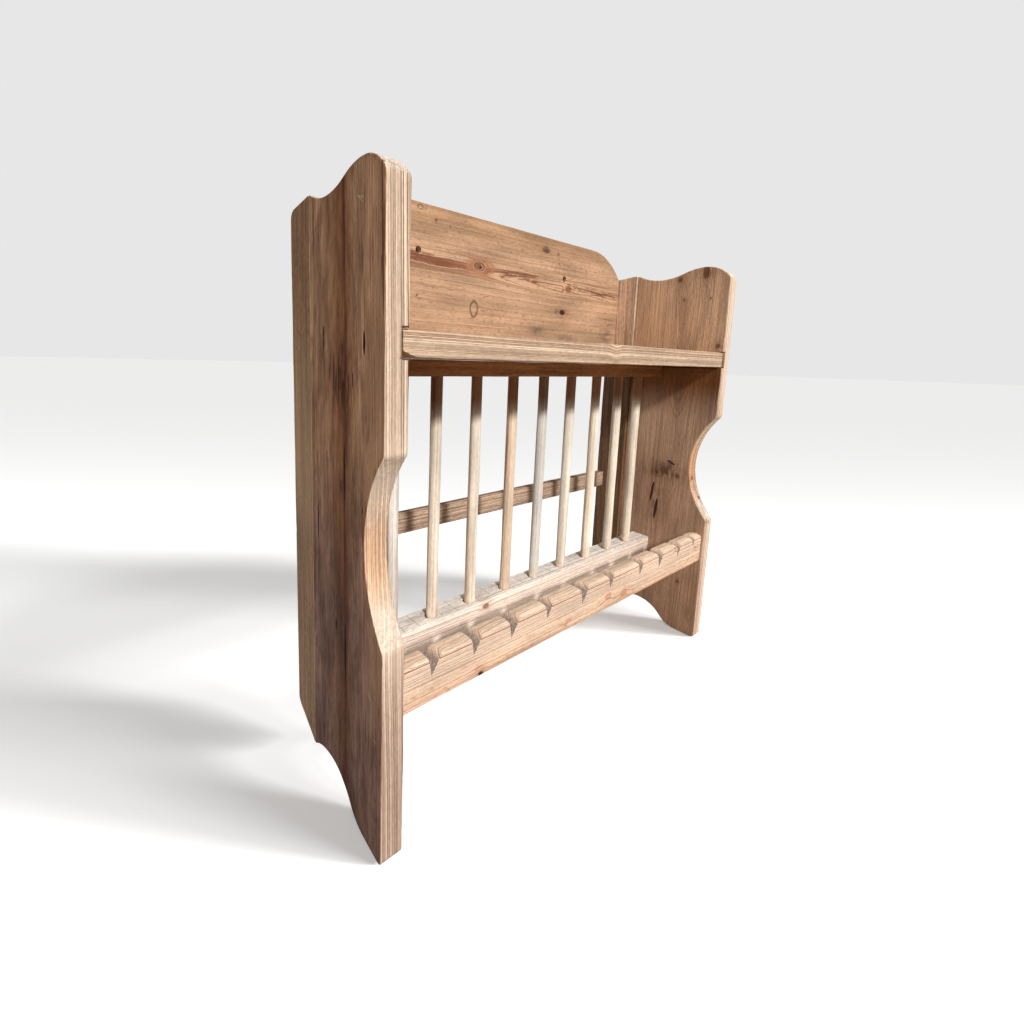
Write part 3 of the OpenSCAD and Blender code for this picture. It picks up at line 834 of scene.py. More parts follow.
fine, streak = sheet.smooth(fine, 0.35, 0.63, 0.0, 0.5), sheet.smooth(streak, 0.36, 0.64, 0.0, 0.5)
fibre = sheet.math("ADD", fine, streak)
mottle = sheet.noise(sheet.vector("MULTIPLY", board, (9.0, 42.0, 42.0)), 1.0, 3.0, 0.55)
for label, value in (("Late", late), ("Tone", year.outputs["Value"]), ("Fibre", fibre), ("Mottle", mottle)):
    sheet.feed(result.inputs[label], value)
pine_rings = sheet.tree
print("pine rings nodes:", len(pine_rings.nodes))

# %% [markdown]
# ## Knots and marks
# A knot is the foot of a branch. The rings bend round it, so the knot group gives a push for the ring
# count as well as its dark core, its rim and the warm halo about it. A mark is a line from one point to
# another that thins out at both ends: a crack, a scratch, a scribed line or a slit, by its colour.

# %% The knot group
def bell(sheet, value):
    """1 where the value is 0, falling away softly on both sides."""
    return sheet.math("EXPONENT", sheet.math("MULTIPLY", sheet.math("MULTIPLY", value, value), -1.0))


sheet, given, result = new_tree(
    "Knot",
    "ShaderNodeTree",
    {
        "Board": ("Vector", None),
        "Centre": ("Vector", None),
        "Size": ("Float", 0.004),
        "Stretch": ("Float", 1.4),
    },
    {"Core": ("Float", None), "Rim": ("Float", None), "Halo": ("Float", None), "Push": ("Float", None)},
)
along, across, _ = sheet.parts(sheet.vector("SUBTRACT", given["Board"], given["Centre"]))
away = sheet.join(sheet.math("DIVIDE", along, given["Stretch"]), across, 0.0)
share = sheet.math("DIVIDE", sheet.vector("LENGTH", away), given["Size"])
rim = sheet.math("MULTIPLY", sheet.math("SUBTRACT", share, 0.95), 5.5)
halo = bell(sheet, sheet.math("DIVIDE", share, 2.4))
push = sheet.math("MULTIPLY", sheet.math("MULTIPLY", halo, given["Size"]), 1.3)
core = sheet.smooth(share, 1.08, 0.8)
for label, value in (("Core", core), ("Rim", bell(sheet, rim)), ("Halo", halo), ("Push", push)):
    sheet.feed(result.inputs[label], value)
knot_group = sheet.tree
print("knot nodes:", len(knot_group.nodes))

# %% The mark group
sheet, given, result = new_tree(
    "Mark",
    "ShaderNodeTree",
    {"Board": ("Vector", None), "From": ("Vector", None), "To": ("Vector", None), "Width": ("Float", 0.001)},
    {"Mask": ("Float", None)},
)
way = sheet.vector("SUBTRACT", given["To"], given["From"])
here = sheet.vector("SUBTRACT", given["Board"], given["From"])
done, whole = sheet.vector("DOT_PRODUCT", here, way), sheet.vector("DOT_PRODUCT", way, way)
share = sheet.math("DIVIDE", done, whole, clamp=True)
off = sheet.vector("SUBTRACT", here, sheet.vector("SCALE", way, share))
off = sheet.vector("MULTIPLY", off, (1.0, 1.0, 0.3))
taper = sheet.math("MULTIPLY", share, sheet.math("SUBTRACT", 1.0, share))
taper = sheet.math("SQRT", sheet.math("MULTIPLY_ADD", taper, 4.0, 0.05))
ratio = sheet.math("DIVIDE", sheet.vector("LENGTH", off), sheet.math("MULTIPLY", taper, given["Width"]))
sheet.feed(result.inputs["Mask"], sheet.smooth(ratio, 1.0, 0.35))
mark_group = sheet.tree
print("mark nodes:", len(mark_group.nodes))

# %% [markdown]
# ## A pine recipe
# Every board is the same recipe with its own values: which way the grain runs, where the pith was, the
# colours of early and late wood, and a list of knots and marks measured on the real rack. `Pine` writes
# that recipe into a material and keeps the colour and height so far, so that a board can add its own
# stains before the shader is closed.

# %% The recipe
def tint(red, green, blue):
    """A colour written in the 0 to 255 values that a paint chart gives."""
    return tuple(((c / 255 + 0.055) / 1.055) ** 2.4 for c in (red, green, blue)) + (1.0,)


class Pine:
    """One pine. grain names the bench axes along, across and deep; pith, ring and knots are in mm."""

    def __init__(self, name, grain, pith, ring, seed, lean=0.01, sway=0.006, knots=(), warp=0.0016):
        self.material = bpy.data.materials.new(name)
        self.material.use_nodes = True
        self.sheet = sheet = Sheet(self.material.node_tree)
        sheet.tree.nodes.clear()
        where = sheet.add("ShaderNodeTexCoord")
        bench = sheet.vector("SUBTRACT", where.outputs["Object"], tuple(BENCH_ZERO))
        self.normal = dict(zip("xyz", sheet.parts(where.outputs["Normal"])))
        self.axes = dict(zip("xyz", sheet.parts(bench)))
        self.board = sheet.join(*(self.axes[letter] for letter in grain))
        bend = sheet.noise(self.board, 90.0, 2.0, 0.6, "Color")
        bend = sheet.vector("SCALE", sheet.vector("SUBTRACT", bend, (0.5, 0.5, 0.5)), warp)
        self.rough_board = sheet.vector("ADD", self.board, bend)
        self.knots = {"Core": 0.0, "Rim": 0.0, "Halo": 0.0, "Push": 0.0}
        for spot in knots:
            found = self.knot(*spot)
            for label, so_far in self.knots.items():
                operation = "ADD" if label == "Push" else "MAXIMUM"
                self.knots[label] = sheet.math(operation, so_far, found[label])
        values = {"Board": self.board, "Push": self.knots["Push"], "Seed": seed, "Lean": lean, "Wander": sway}
        lengths = {"Pith across": pith[0], "Pith deep": pith[1], "Ring width": ring}
        values.update({label: mm * 0.001 for label, mm in lengths.items()})
        self.late, self.tone, self.fibre, self.mottle = self.group(pine_rings, values)
        self.edge = sheet.add("ShaderNodeAttribute", attribute_name="edge").outputs["Fac"]
        self.height = sheet.math("MULTIPLY_ADD", self.late, 0.5, sheet.math("MULTIPLY", self.fibre, 0.45))
        self.colour = None

    def group(self, tree, values):
        """The outputs of a node group with its named inputs fed."""
        node = self.sheet.add("ShaderNodeGroup", node_tree=tree)
        for name, value in values.items():
            self.sheet.feed(node.inputs[name], value)
        return node.outputs

    def knot(self, along, across, size, stretch):
        """The masks of one knot, by its place on the board and its radius in mm."""
        centre = (along * 0.001, across * 0.001, 0.0)
        values = {"Board": self.rough_board, "Centre": centre, "Size": size * 0.001, "Stretch": stretch}
        return self.group(knot_group, values)

    def wood(self, early, late, lines=0.8, uneven=0.5, grain=0.22):
        """A colour from early and late wood, varied ring by ring, fibre by fibre and in soft clouds."""
        sheet = self.sheet
        strong = sheet.math("MULTIPLY", self.late, sheet.smooth(self.tone, -0.3, 1.0, lines * 0.45, lines))
        colour = sheet.blend(strong, tint(*early), tint(*late))
        level = sheet.math("MULTIPLY_ADD", self.fibre, grain * 2.8, 1 - grain * 1.4)
        patchy = sheet.smooth(self.mottle, 0.25, 0.75, 1 - uneven * 0.35, 1 + uneven * 0.25)
        level = sheet.math("MULTIPLY", level, patchy)
        return sheet.step("ShaderNodeHueSaturation", {"Color": colour, "Value": level})

    def times(self, *masks):
        """The product of masks and plain strengths."""
        value = masks[0]
        for mask in masks[1:]:
            value = self.sheet.math("MULTIPLY", value, mask)
        return value

    def stain(self, colour, *masks, mode="MIX"):
        """Lays a chart colour, or another wood, over the pine where all the masks meet."""
        if isinstance(colour, tuple):
            colour = tint(*colour)
        self.colour = self.sheet.blend(self.times(*masks), self.colour, colour, mode)

    def shade(self, colour, *masks):
        """Darkens the pine by a colour where all the masks meet."""
        self.stain(colour, *masks, mode="MULTIPLY")

    def ramp(self, way, start, end, low=0.0, high=1.0):
        """A soft ramp from start to end in mm, along a bench axis or another measure of the board."""
        return self.sheet.smooth(self.axes.get(way, way), start * 0.001, end * 0.001, low, high)

    def near(self, way, middle, spread):
        """A soft band about one place in mm, along a bench axis or another measure of the board."""
        off = self.sheet.math("SUBTRACT", self.axes.get(way, way), middle * 0.001)
        return bell(self.sheet, self.sheet.math("DIVIDE", off, spread * 0.001))

    def facing(self, axis, sign, start=0.35, end=0.75):
        """A mask for the faces that look along one axis (1) or against it (-1)."""
        value = self.normal[axis]
        if sign < 0:
            value = self.sheet.math("MULTIPLY", value, -1.0)
        return self.sheet.smooth(value, start, end)

    def cloud(self, scale, low, high, detail=3.0, seed=0.0):
        """Patches from noise: scale is three numbers per metre, along, across and deep."""
        sheet = self.sheet
        spot = sheet.vector("MULTIPLY", self.board, scale)
        spot = sheet.vector("ADD", spot, (seed, seed * 0.7, seed * 1.3))
        return sheet.smooth(sheet.noise(spot, 1.0, detail, 0.6), low, high)

    def show_knots(self, core, rim, halo, strength=1.0):
        """Colours the knots of the board: first the halo, then the core, then the rim."""
        self.shade(halo, self.knots["Halo"], 0.55 * strength)
        self.stain(core, self.knots["Core"], 0.85 * strength)
        self.stain(rim, self.knots["Rim"], 0.6 * strength)

    def marks(self, lines, colour, strength=1.0, sink=0.0, deep=0.0):
        """Lines of one colour: start, end and width in mm. A spot of two numbers lies at the depth deep."""
        mask = 0.0
        for start, end, width in lines:
            start, end = (tuple(v * 0.001 for v in (*spot, deep)[:3]) for spot in (start, end))
            values = {"Board": self.rough_board, "From": start, "To": end, "Width": width * 0.001}
            mask = self.sheet.math("MAXIMUM", mask, self.group(mark_group, values)[0])
        self.stain(colour, mask, strength)
        if sink:
            self.height = self.sheet.math("MULTIPLY_ADD", mask, -sink, self.height)

    def finish(self, rough=0.62, bump=0.4, shine=0.12):
        """Closes the material with a dull, faintly waxed surface and the grain as bump."""
        sheet = self.sheet
        relief = sheet.add("ShaderNodeBump")
        relief.inputs["Strength"].default_value = bump
        relief.inputs["Distance"].default_value = 0.0008
        sheet.feed(relief.inputs["Height"], self.height)
        shader = sheet.add("ShaderNodeBsdfPrincipled")
        shader.inputs["Specular IOR Level"].default_value = shine
        sheet.feed(shader.inputs["Base Color"], self.colour)
        sheet.feed(shader.inputs["Roughness"], sheet.smooth(self.fibre, 0.2, 0.8, rough + 0.1, rough - 0.06))
        sheet.feed(shader.inputs["Normal"], relief.outputs[0])
        sheet.feed(sheet.add("ShaderNodeOutputMaterial").inputs["Surface"], shader.outputs[0])
        print(self.material.name, "nodes:", len(sheet.tree.nodes))
        return self.material


print("the recipe lays its colours with", [name for name in vars(Pine) if not name.startswith("_")])


# %% [markdown]
# ## The side boards
# Outside, the sides are dull grey-brown from years of smoke and hands, with a dark resin streak from top
# to foot. Inside, the pine is warmer. The front edges were scraped pale, and their rings show as close
# upright lines. One recipe gives all three by the way a face looks. Each side then gets its own stains.


# %% What both sides share
def side_pine(name, outer_x, outward, seed, knots, foot):
    """The pine of one side. outward is the way its outer face looks along x."""
    pine = Pine(name, "zyx", (70, outer_x + 95 * outward), 2.5, seed, lean=0.016, knots=knots)
    pine.colour = pine.wood((250, 221, 194), (112, 72, 50), 1.3, 0.3, 0.12)
    pine.shade(foot, pine.ramp("z", 260, 100, 0.0, 0.75))
    pine.shade((248, 214, 184), pine.ramp("z", 220, 280), pine.ramp("z", 370, 300), 0.6)
    end_grain = pine.wood((250, 236, 220), (200, 180, 158), 0.5, 0.8, 0.2)
    pine.stain(end_grain, pine.facing("z", 1, 0.38, 0.56), 0.8)
    steep = pine.sheet.smooth(pine.sheet.math("ABSOLUTE", pine.normal["z"]), 0.3, 0.6)
    pine.stain((156, 128, 104), steep, pine.cloud((260, 320, 320), 0.42, 0.6, detail=2.0, seed=5.0), 0.4)
    pine.inner = pine.facing("x", -outward)
    pine.outer = pine.facing("x", outward)
    pine.stain(pine.wood((222, 186, 154), (176, 132, 102), 0.25, 0.7, 0.13), pine.inner)
    pine.stain(pine.wood((196, 152, 120), (150, 110, 84), 0.2, 0.9, 0.11), pine.outer)
    # Painted shade: the inner face is darkened below the shelf.
    pine.shade((230, 224, 226), pine.inner, pine.ramp("z", 478, 400))
    pine.shade((236, 226, 216), pine.inner, pine.ramp("z", 160, 100))
    # Painted shade: a darker band just under the shelf.
    pine.shade((158, 122, 86), pine.inner, pine.ramp("z", 385, 455), pine.ramp("z", 482, 478))
    return pine


# %% Left side: stains
materials = {}
knots = [(458, 85, 5, 2.2), (486, 81, 2.2, 2.2), (352, 83, 2.4, 2.4), (200, 97, 1.6, 1.6)]
pine = side_pine("left side pine", 0.0, -1, 1.7, knots, (200, 192, 196))
outer = pine.outer
rubbed = pine.sheet.math("ADD", pine.near("z", 375, 30), pine.near("z", 235, 30))
pine.stain((255, 232, 208), pine.facing("y", -1), rubbed, 0.45)
for colour, scale, low, high, seed, strength in (
    ((192, 146, 106), (9, 34, 34), 0.45, 0.68, 15.0, 0.5),
    ((104, 70, 50), (10, 32, 32), 0.38, 0.72, 9.0, 0.6),
    ((92, 54, 36), (14, 110, 110), 0.45, 0.72, 2.0, 0.45),
    ((180, 146, 112), (6, 60, 60), 0.5, 0.72, 5.0, 0.35),
):
    pine.stain(colour, outer, pine.cloud(scale, low, high, seed=seed), strength)
pine.shade((190, 166, 140), outer, pine.near("y", 82, 24), 0.9)
pine.stain((96, 62, 44), outer, pine.cloud((30, 80, 80), 0.45, 0.72, seed=21.0), 0.5)
pine.shade((198, 200, 226), outer, pine.ramp("z", 420, 200))
pine.stain((196, 150, 116), outer, pine.ramp("y", 50, 12), pine.ramp("z", 80, 200), 0.45)
pine.stain((70, 44, 32), outer, pine.cloud((24, 420, 420), 0.64, 0.72, detail=1.0, seed=6.0), 0.6)
band = pine.times(pine.near("y", 75.5, 4.2), pine.cloud((10, 90, 90), 0.35, 0.6, seed=8.0))
pine.stain((84, 42, 27), band, outer, 0.85)

# %% Left side: marks
streak = [
    ((645, 76), (545, 74), 2.2),
    ((560, 74), (430, 73), 1.8),
    ((475, 72.5), (385, 73), 1.6),
    ((400, 75), (325, 75.5), 2.6),
    ((335, 77), (230, 76), 1.8),
    ((240, 76), (120, 75), 1.8),
    ((130, 75), (20, 74), 1.4),
]
pine.marks(streak, (78, 40, 27), 0.75)
flame_field = pine.times(pine.near("y", 83, 22), pine.near("z", 456, 34), outer)
pine.stain((150, 98, 70), flame_field, 0.45)
pine.stain((66, 28, 16), flame_field, pine.cloud((34, 290, 290), 0.47, 0.58, detail=2.0, seed=4.0))
pine.show_knots((70, 42, 32), (52, 32, 26), (150, 110, 84), 0.7)
flame = (  # z, y, half the length
    (470, 108, 15),
    (462, 100, 17),
    (455, 94, 13),
    (448, 66, 15),
    (452, 88, 20),
    (444, 80, 12),
    (458, 57, 7),
)
pine.marks([((z + half, y), (z - half, y + 1.5), 1.7) for z, y, half in flame], (58, 26, 15), 0.85)
cracks = [
    ((501, 35.5), (481, 35.4), 3.0),
    ((510, 124.9), (485, 125.2), 2.0),
    ((320, 143.4), (278, 143), 2.4),
    ((634, 148.6), (580, 149), 1.0),
    ((343, 38.3), (338, 38.4), 1.4),
    ((206, 97.4), (194, 97.4), 2.2),
    ((392, 75.4), (334, 75.8), 2.6),
    ((212, 74.6), (150, 75), 2.8),
    ((161, 152), (142, 152.3), 1.6),
]
pine.marks(cracks, (24, 12, 8), 1.0, 0.8)
seam = [((634, 148.6), (300, 143.4), 0.8), ((300, 143.2), (20, 135), 1.0)]
pine.marks(seam, (54, 38, 30), 0.7, 0.5)
pine.marks([((642, 6.5), (512, 2.4), 2.4)], (92, 52, 34), 0.8)
arris = pine.times(pine.sheet.smooth(pine.edge, 5.0, 1.0), pine.ramp("y", 70, 30), outer)
pine.stain((104, 58, 38), arris, pine.cloud((14, 120, 120), 0.4, 0.6, seed=31.0), 0.6)
groove_lines = [((504.5, 0, 16.5), (504.5, 0, 26), 1.4), ((478, 0, 16.5), (478, 0, 25), 1.2)]
pine.marks(groove_lines, (40, 24, 16), 0.9)
scratches = [
    ((616, 48.6), (607, 38), 0.6),
    ((614, 47), (611, 36), 0.6),
    ((169, 25.3), (158, 17.4), 0.6),
    ((166, 27), (160, 22), 0.6),
    ((125, 15), (124, 9), 0.6),
]
pine.marks(scratches, (214, 190, 160), 0.8)
materials["left_side"] = pine.finish(0.6, 0.75, shine=0.03)

# %% Right side: stains
knots = [
    (636, 39, 4.4, 2.4),
    (628.5, 81, 3.2, 1.2),
    (592.8, 71, 1.4, 1.3),
    (284, 92.5, 3.6, 0.9),
    (284, 55, 2.8, 1.2),
    (91.6, 36.5, 2.2, 1.2),
    (514, 9, 3, 1.2),
    (593, 28, 1.2, 1.0),
]
pine = side_pine("right side pine", RACK_W, 1, 6.3, knots, (250, 246, 246))
for z, y, high, wide, seed, strength in (
    (287, 80, 14, 36, 3.0, 0.85),
    (300, 78, 11, 22, 8.0, 0.6),
    (225, 92, 40, 16, 5.0, 0.5),
    (636, 40, 7, 16, 1.0, 0.6),
    (40, 13, 12, 10, 2.0, 0.3),
):
    ragged = pine.cloud((60, 130, 10), 0.3, 0.62, seed=seed)
    pine.stain((72, 38, 25), pine.near("y", y, wide), pine.near("z", z, high), ragged, pine.inner, strength)
pine.shade((214, 184, 164), pine.near("y", 100, 60), pine.near("z", 250, 90), pine.inner, 0.3)
pine.show_knots((92, 56, 40), (62, 34, 24), (180, 134, 106), 0.75)

# %% Right side: marks
INNER_X = 630.4
cracks = [((264, 97), (227, 101), 3.4), ((234, 88), (196, 91), 3.8), ((309, 75), (303, 61), 2.6)]
pine.marks(cracks, (46, 25, 17), 0.95, 1.0, deep=INNER_X)
pine.marks([((457, 71), (314, 63), 0.8)], (96, 70, 52), 0.6, 0.3, deep=INNER_X)
front = pine.facing("y", -1)
pine.shade((236, 222, 206), front, pine.near("z", 320, 70))
for x, z, wide, high, strength, colour in (
    (640, 284, 20, 5, 0.9, (122, 82, 60)),
    (642, 266, 8, 6, 0.8, (140, 142, 142)),
    (649, 249, 5, 6, 1.0, (76, 80, 84)),
    (640, 212, 12, 5, 0.6, (150, 104, 78)),
):
    ragged = pine.cloud((170, 170, 170), 0.38, 0.58, seed=z * 0.1)
    pine.stain(colour, pine.near("x", x, wide), pine.near("z", z, high), ragged, front, strength)
threads = pine.cloud((4, 330, 10), 0.5, 0.7, detail=1.0, seed=12.0)
pine.stain((120, 82, 58), pine.inner, threads, 0.22)
nicks = [
    ((77.6, 67), (71.6, 45), 0.5),
    ((546.6, 78.5), (545, 77), 1.4),
    ((550.5, 50), (548.5, 49), 1.5),
    ((525, 104), (523.5, 103), 1.5),
    ((208, 132), (206.5, 131), 1.8),
]
pine.marks(nicks, (224, 194, 162), 0.85, deep=INNER_X)
materials["right_side"] = pine.finish(0.6, 0.75)

# %% [markdown]
# ## The rear boards
# The rear boards came from another plank: a little greyer, with straight close grain.

# %% Rear board pine
for side, outward, seed in (("left", -1, 11.1), ("right", 1, 13.9)):
    pine = Pine(side + " rear board pine", "zyx", (300, 20), 2.1, seed, sway=0.004)
    pine.colour = pine.wood((228, 200, 174), (170, 134, 108), 0.6, 0.6)
    outer = pine.facing("x", outward)
    pine.stain(pine.wood((154, 120, 90), (108, 76, 56), 0.35, 1.0), outer)
    pine.stain((86, 60, 44), pine.cloud((3, 30, 30), 0.5, 0.75), 0.45)
    # Painted shade: the inner and edge faces are darkened below the shelf.
    pine.shade((144, 126, 110), pine.sheet.math("SUBTRACT", 1.0, outer), pine.ramp("z", 480, 470))
    pine.shade((224, 210, 192), outer, pine.ramp("z", 420, 560))
    pine.stain((192, 156, 122), outer, pine.near("z", 360, 90), 0.4)
    if side == "left":
        pine.marks([((640, 169), (600, 170), 3.0)], (60, 42, 34), 0.7)
    materials[side + "_rear_board"] = pine.finish(0.62, 0.4)

# %% [markdown]
# ## The back board
# The back board is the brightest face: orange-brown pine with its grain lying flat. A resin band runs the
# whole length at the height of the screws and opens into an eye round one knot.

# %% Back board: its knots and resin band
knots = [
    (267, 616, 3.2, 1.3),
    (461, 566, 3.6, 1.7),
    (189, 664.5, 1.7, 1.3),
    (411, 662, 3.0, 1.9),
    (442, 660, 1.5, 1.2),
    (474, 606, 2.4, 1.6),
    (160, 564, 1.3, 1.2),
    (446, 645, 1.1, 1.0),
    (520, 642.5, 1.2, 1.0),
    (545, 540.5, 1.1, 1.0),
]
pith = (607, SHELF_BACK - 46)
pine = Pine("back board pine", "xzy", pith, 2.4, 21.5, lean=-0.006, sway=0.010, knots=knots, warp=0.003)
pine.colour = pine.wood((199, 162, 131), (158, 112, 80), 0.45, 0.7, 0.12)
sheet = pine.sheet
front = pine.facing("y", -1)
along, across, _ = sheet.parts(pine.rough_board)
pine.shade((246, 238, 224), front, pine.ramp(across, 630, 680), 0.7)
centre = sheet.math("MULTIPLY_ADD", along, -0.012, 0.6185)
centre = sheet.math("ADD", centre, sheet.math("MULTIPLY", pine.cloud((11, 0, 0), 0.2, 0.8, seed=4.0), -0.005))
from_band = sheet.math("SUBTRACT", across, centre)
off = sheet.math("ABSOLUTE", from_band)
figure = bell(sheet, sheet.math("MULTIPLY", from_band, 85.0))
pine.stain((126, 72, 50), figure, sheet.smooth(pine.late, 0.72, 0.95), front, 0.85)
left_patch = pine.ramp(along, 232, 205)
mid_patch = pine.times(pine.ramp(along, 305, 325), pine.ramp(along, 402, 385))
end_patch = pine.times(pine.ramp(along, 450, 470), pine.cloud((55, 240, 10), 0.45, 0.58, seed=2.0), 0.9)
patches = sheet.math("MAXIMUM", sheet.math("MAXIMUM", left_patch, mid_patch), end_patch)
ragged_end = sheet.smooth(pine.cloud((70, 330, 10), 0.2, 0.8, seed=17.0), 0.25, 0.4)
girth = sheet.math("MULTIPLY_ADD", pine.cloud((32, 60, 10), 0.2, 0.8, seed=7.0), 0.005, 0.002)
band = pine.times(pine.ramp(sheet.math("SUBTRACT", off, girth), 1.6, 0.4), patches, ragged_end)
scraped = sheet.math("MULTIPLY_ADD", pine.cloud((24, 200, 10), 0.25, 0.7, seed=3.0), 0.4, 0.5)
pine.stain((126, 78, 60), band, front, scraped)
edge_line = bell(sheet, sheet.math("MULTIPLY", sheet.math("SUBTRACT", off, 0.0078), 1300.0))
pine.stain((222, 182, 146), edge_line, front, 0.6)
pine.show_knots((112, 70, 48), (84, 52, 38), (200, 156, 124), 0.75)

# %% Back board: rings, stains and fine lines
for *ring, colour in (
    (260, 554, 11.5, 0.63, (92, 62, 48)),
    (163, 676, 3.0, 1.5, (84, 70, 58)),
    (411, 662, 4.4, 1.9, (84, 68, 56)),
    (268, 615.5, 5.4, 1.8, (110, 62, 44)),
    (269, 615.5, 8.6, 2.0, (164, 110, 82)),
    (271, 615.5, 11.5, 2.3, (178, 126, 96)),
):
    pine.stain(colour, pine.knot(*ring)["Rim"], front, 0.8)
grey = pine.times(pine.ramp(across, 552, 515), pine.cloud((9, 24, 10), 0.42, 0.7, seed=7.0))
pine.stain((156, 136, 112), grey, front, 0.5)
for x, z, wide, high in ((399, 531, 18, 7), (594, 533, 20, 12), (446, 566, 10, 4), (470, 522, 22, 6)):
    ragged = pine.cloud((50, 110, 10), 0.3, 0.65, seed=x * 0.1)
    pine.stain((98, 88, 78), pine.near(along, x, wide), pine.near(across, z, high), ragged, front, 0.8)
pine.stain((130, 90, 62), front, pine.cloud((120, 260, 10), 0.58, 0.72, detail=1.0, seed=14.0), 0.4)
for *core, colour in (
    (SCREW_X[0], SCREW_Z, 4.6, 1.0, (20, 12, 8)),
    (SCREW_X[1], SCREW_Z, 4.6, 1.0, (20, 12, 8)),
    (460, 566, 4.4, 1.7, (66, 42, 30)),
    (412, 661, 3.0, 1.9, (104, 80, 62)),
    (270, 614, 1.8, 1.6, (70, 44, 34)),
):
    pine.stain(colour, pine.knot(*core)["Core"], front)
fine = [
    ((488, 642), (488.6, 634), 0.8),
    ((440, 606), (500, 601), 0.9),
    ((452, 598), (470, 609), 0.8),
    ((520, 603), (600, 596), 0.8),
    ((560, 565), (622, 562), 0.8),
    ((588, 553), (622, 556), 0.7),
    ((275, 571), (292, 577), 0.8),
]
pine.marks(fine, (108, 64, 46), 0.75, deep=SHELF_BACK)
pine.marks([((500, 612), (620, 606), 1.6)], (128, 70, 50), 0.75, deep=SHELF_BACK)
materials["back_board"] = pine.finish(0.58, 0.55)

# %% [markdown]
# ## The shelf and the rails
# The shelf's front edge is pale and close grained. Its underside and the rail under it are painted dark, as
# painted shade under the shelf.
# The lower dowel rail is greyed on top, where water and plates went, with a scribed line for each plate.
# The front rail is pinkish pine, greyed on its tooth tops and in the notches, where the saw left its end
# grain rough.

# %% Shelf pine
knots = [(330, 3, 2.0, 2.0)]
pine = Pine("shelf pine", "xyz", (-25, 430), 1.9, 31.2, lean=0.004, sway=0.005, knots=knots)
pine.colour = pine.wood((236, 206, 176), (146, 100, 72), 1.15, 0.35, 0.15)
# Painted shade: the underside is a darker, browner pine.
pine.stain(pine.wood((164, 112, 68), (118, 76, 46), 0.6, 0.8), pine.facing("z", -1), 0.9)
pine.stain(pine.wood((196, 156, 120), (150, 108, 80), 0.6, 0.8), pine.facing("z", 1), 0.6)
ends = [((18, 2.5, 476), (18, 2.5, 506), 2.2), ((637.2, 2.5, 476), (637.2, 2.5, 506), 1.6)]
pine.marks(ends, (40, 24, 16), 0.95)
worn = pine.sheet.smooth(pine.edge, 3.2, 0.4)
pine.stain((176, 146, 116), worn, pine.cloud((40, 60, 60), 0.4, 0.65, seed=3.0), 0.4)
materials["shelf"] = pine.finish(0.6, 0.75)

# %% Rail pines
# Painted shade: the rail under the shelf is drawn in dark brown pine.
pine = Pine("shaded rail pine", "xzy", (560, 60), 2.2, 37.0, sway=0.004)
pine.colour = pine.wood((164, 106, 60), (120, 72, 40), 0.6, 0.7)
materials["top_dowel_rail"] = pine.finish(0.65, 0.35)

pine = Pine("back rail pine", "xzy", (160, 190), 1.9, 43.3, sway=0.003)
pine.colour = pine.wood((220, 190, 164), (128, 92, 72), 1.0, 0.6, 0.26)
pine.stain((120, 102, 90), pine.cloud((12, 30, 10), 0.5, 0.75), 0.5)
materials["low_back_rail"] = pine.finish(0.66, 0.75)

knots = [(214.6, 150.7, 3.4, 1.5)]
pine = Pine("dowel rail pine", "xzy", (60, 40), 2.3, 47.8, lean=0.012, sway=0.008, knots=knots)
pine.colour = pine.wood((255, 238, 222), (202, 152, 122), 0.9, 0.4, 0.13)
pine.stain(pine.wood((246, 238, 230), (206, 190, 178), 0.6, 0.6, 0.2), pine.facing("z", 1), 0.9)
pine.show_knots((140, 108, 84), (104, 74, 56), (190, 150, 120), 0.9)
slant = (0, -2, 2, 6, 0, 2, -1, 1, 0, 0)
scribed = [((x + more, 157.3, 99), (x + more - 2, 157.3, 131), 0.6) for x, more in zip(notch_x, slant)]
scribed += [((x + 11, 157.3, 99), (x + 12, 157.3, 116), 0.5) for x in dowel_x]
pine.marks(scribed, (120, 100, 86), 0.7, 0.5)
materials["lower_dowel_rail"] = pine.finish(0.62, 0.75)

# %% Front rail pine
knots = [
    (122.5, 147, 3.4, 1.4),
    (355, 163, 4.5, 1.5),
    (395, 157, 4.5, 1.5),
    (610, 172, 2.6, 1.4),
    (540, 186, 2, 1.4),
]
pine = Pine("front rail pine", "xzy", (252, -24), 2.0, 53.1, lean=-0.016, sway=0.007, knots=knots)
pine.colour = pine.wood((254, 226, 200), (166, 98, 66), 1.15, 0.35, 0.1)
low = pine.ramp("z", 176, 150)
pine.stain(pine.wood((236, 192, 158), (200, 146, 112), 0.5, 0.6, 0.16), low, 0.6)
pine.stain((198, 124, 90), low, pine.cloud((70, 130, 10), 0.56, 0.7, seed=9.0), 0.6)
pine.show_knots((190, 120, 90), (160, 98, 74), (228, 176, 146), 0.5)
pine.marks([((119, 147), (126, 146.5), 4.4)], (58, 36, 26), 1.0, 0.8)
tooth_tops = pine.times(pine.facing("z", 1, 0.55, 0.85), pine.ramp("z", 180, 184))
pine.stain(pine.wood((246, 220, 194), (196, 156, 124), 0.45, 0.7, 0.14), tooth_tops, 0.8)
steep = pine.sheet.smooth(pine.sheet.math("ABSOLUTE", pine.normal["x"]), 0.6, 0.78)
sawn = pine.times(steep, pine.ramp("z", 167.5, 171), pine.ramp("z", 188.5, 184))
teeth = pine.cloud((700, 200, 500), 0.3, 0.7, seed=1.0)
pine.stain(pine.sheet.blend(teeth, tint(164, 144, 130), tint(212, 194, 180)), sawn)
pine.height = pine.sheet.math("ADD", pine.height, pine.times(sawn, teeth, 1.2))
materials["notched_front_rail"] = pine.finish(0.62, 0.75)

# %% [markdown]
# ## Dowels and iron
# The dowels are split from pale softwood. Two have weathered grey and one is pinker, as on the real rack.
# The nails are dark rusted iron.

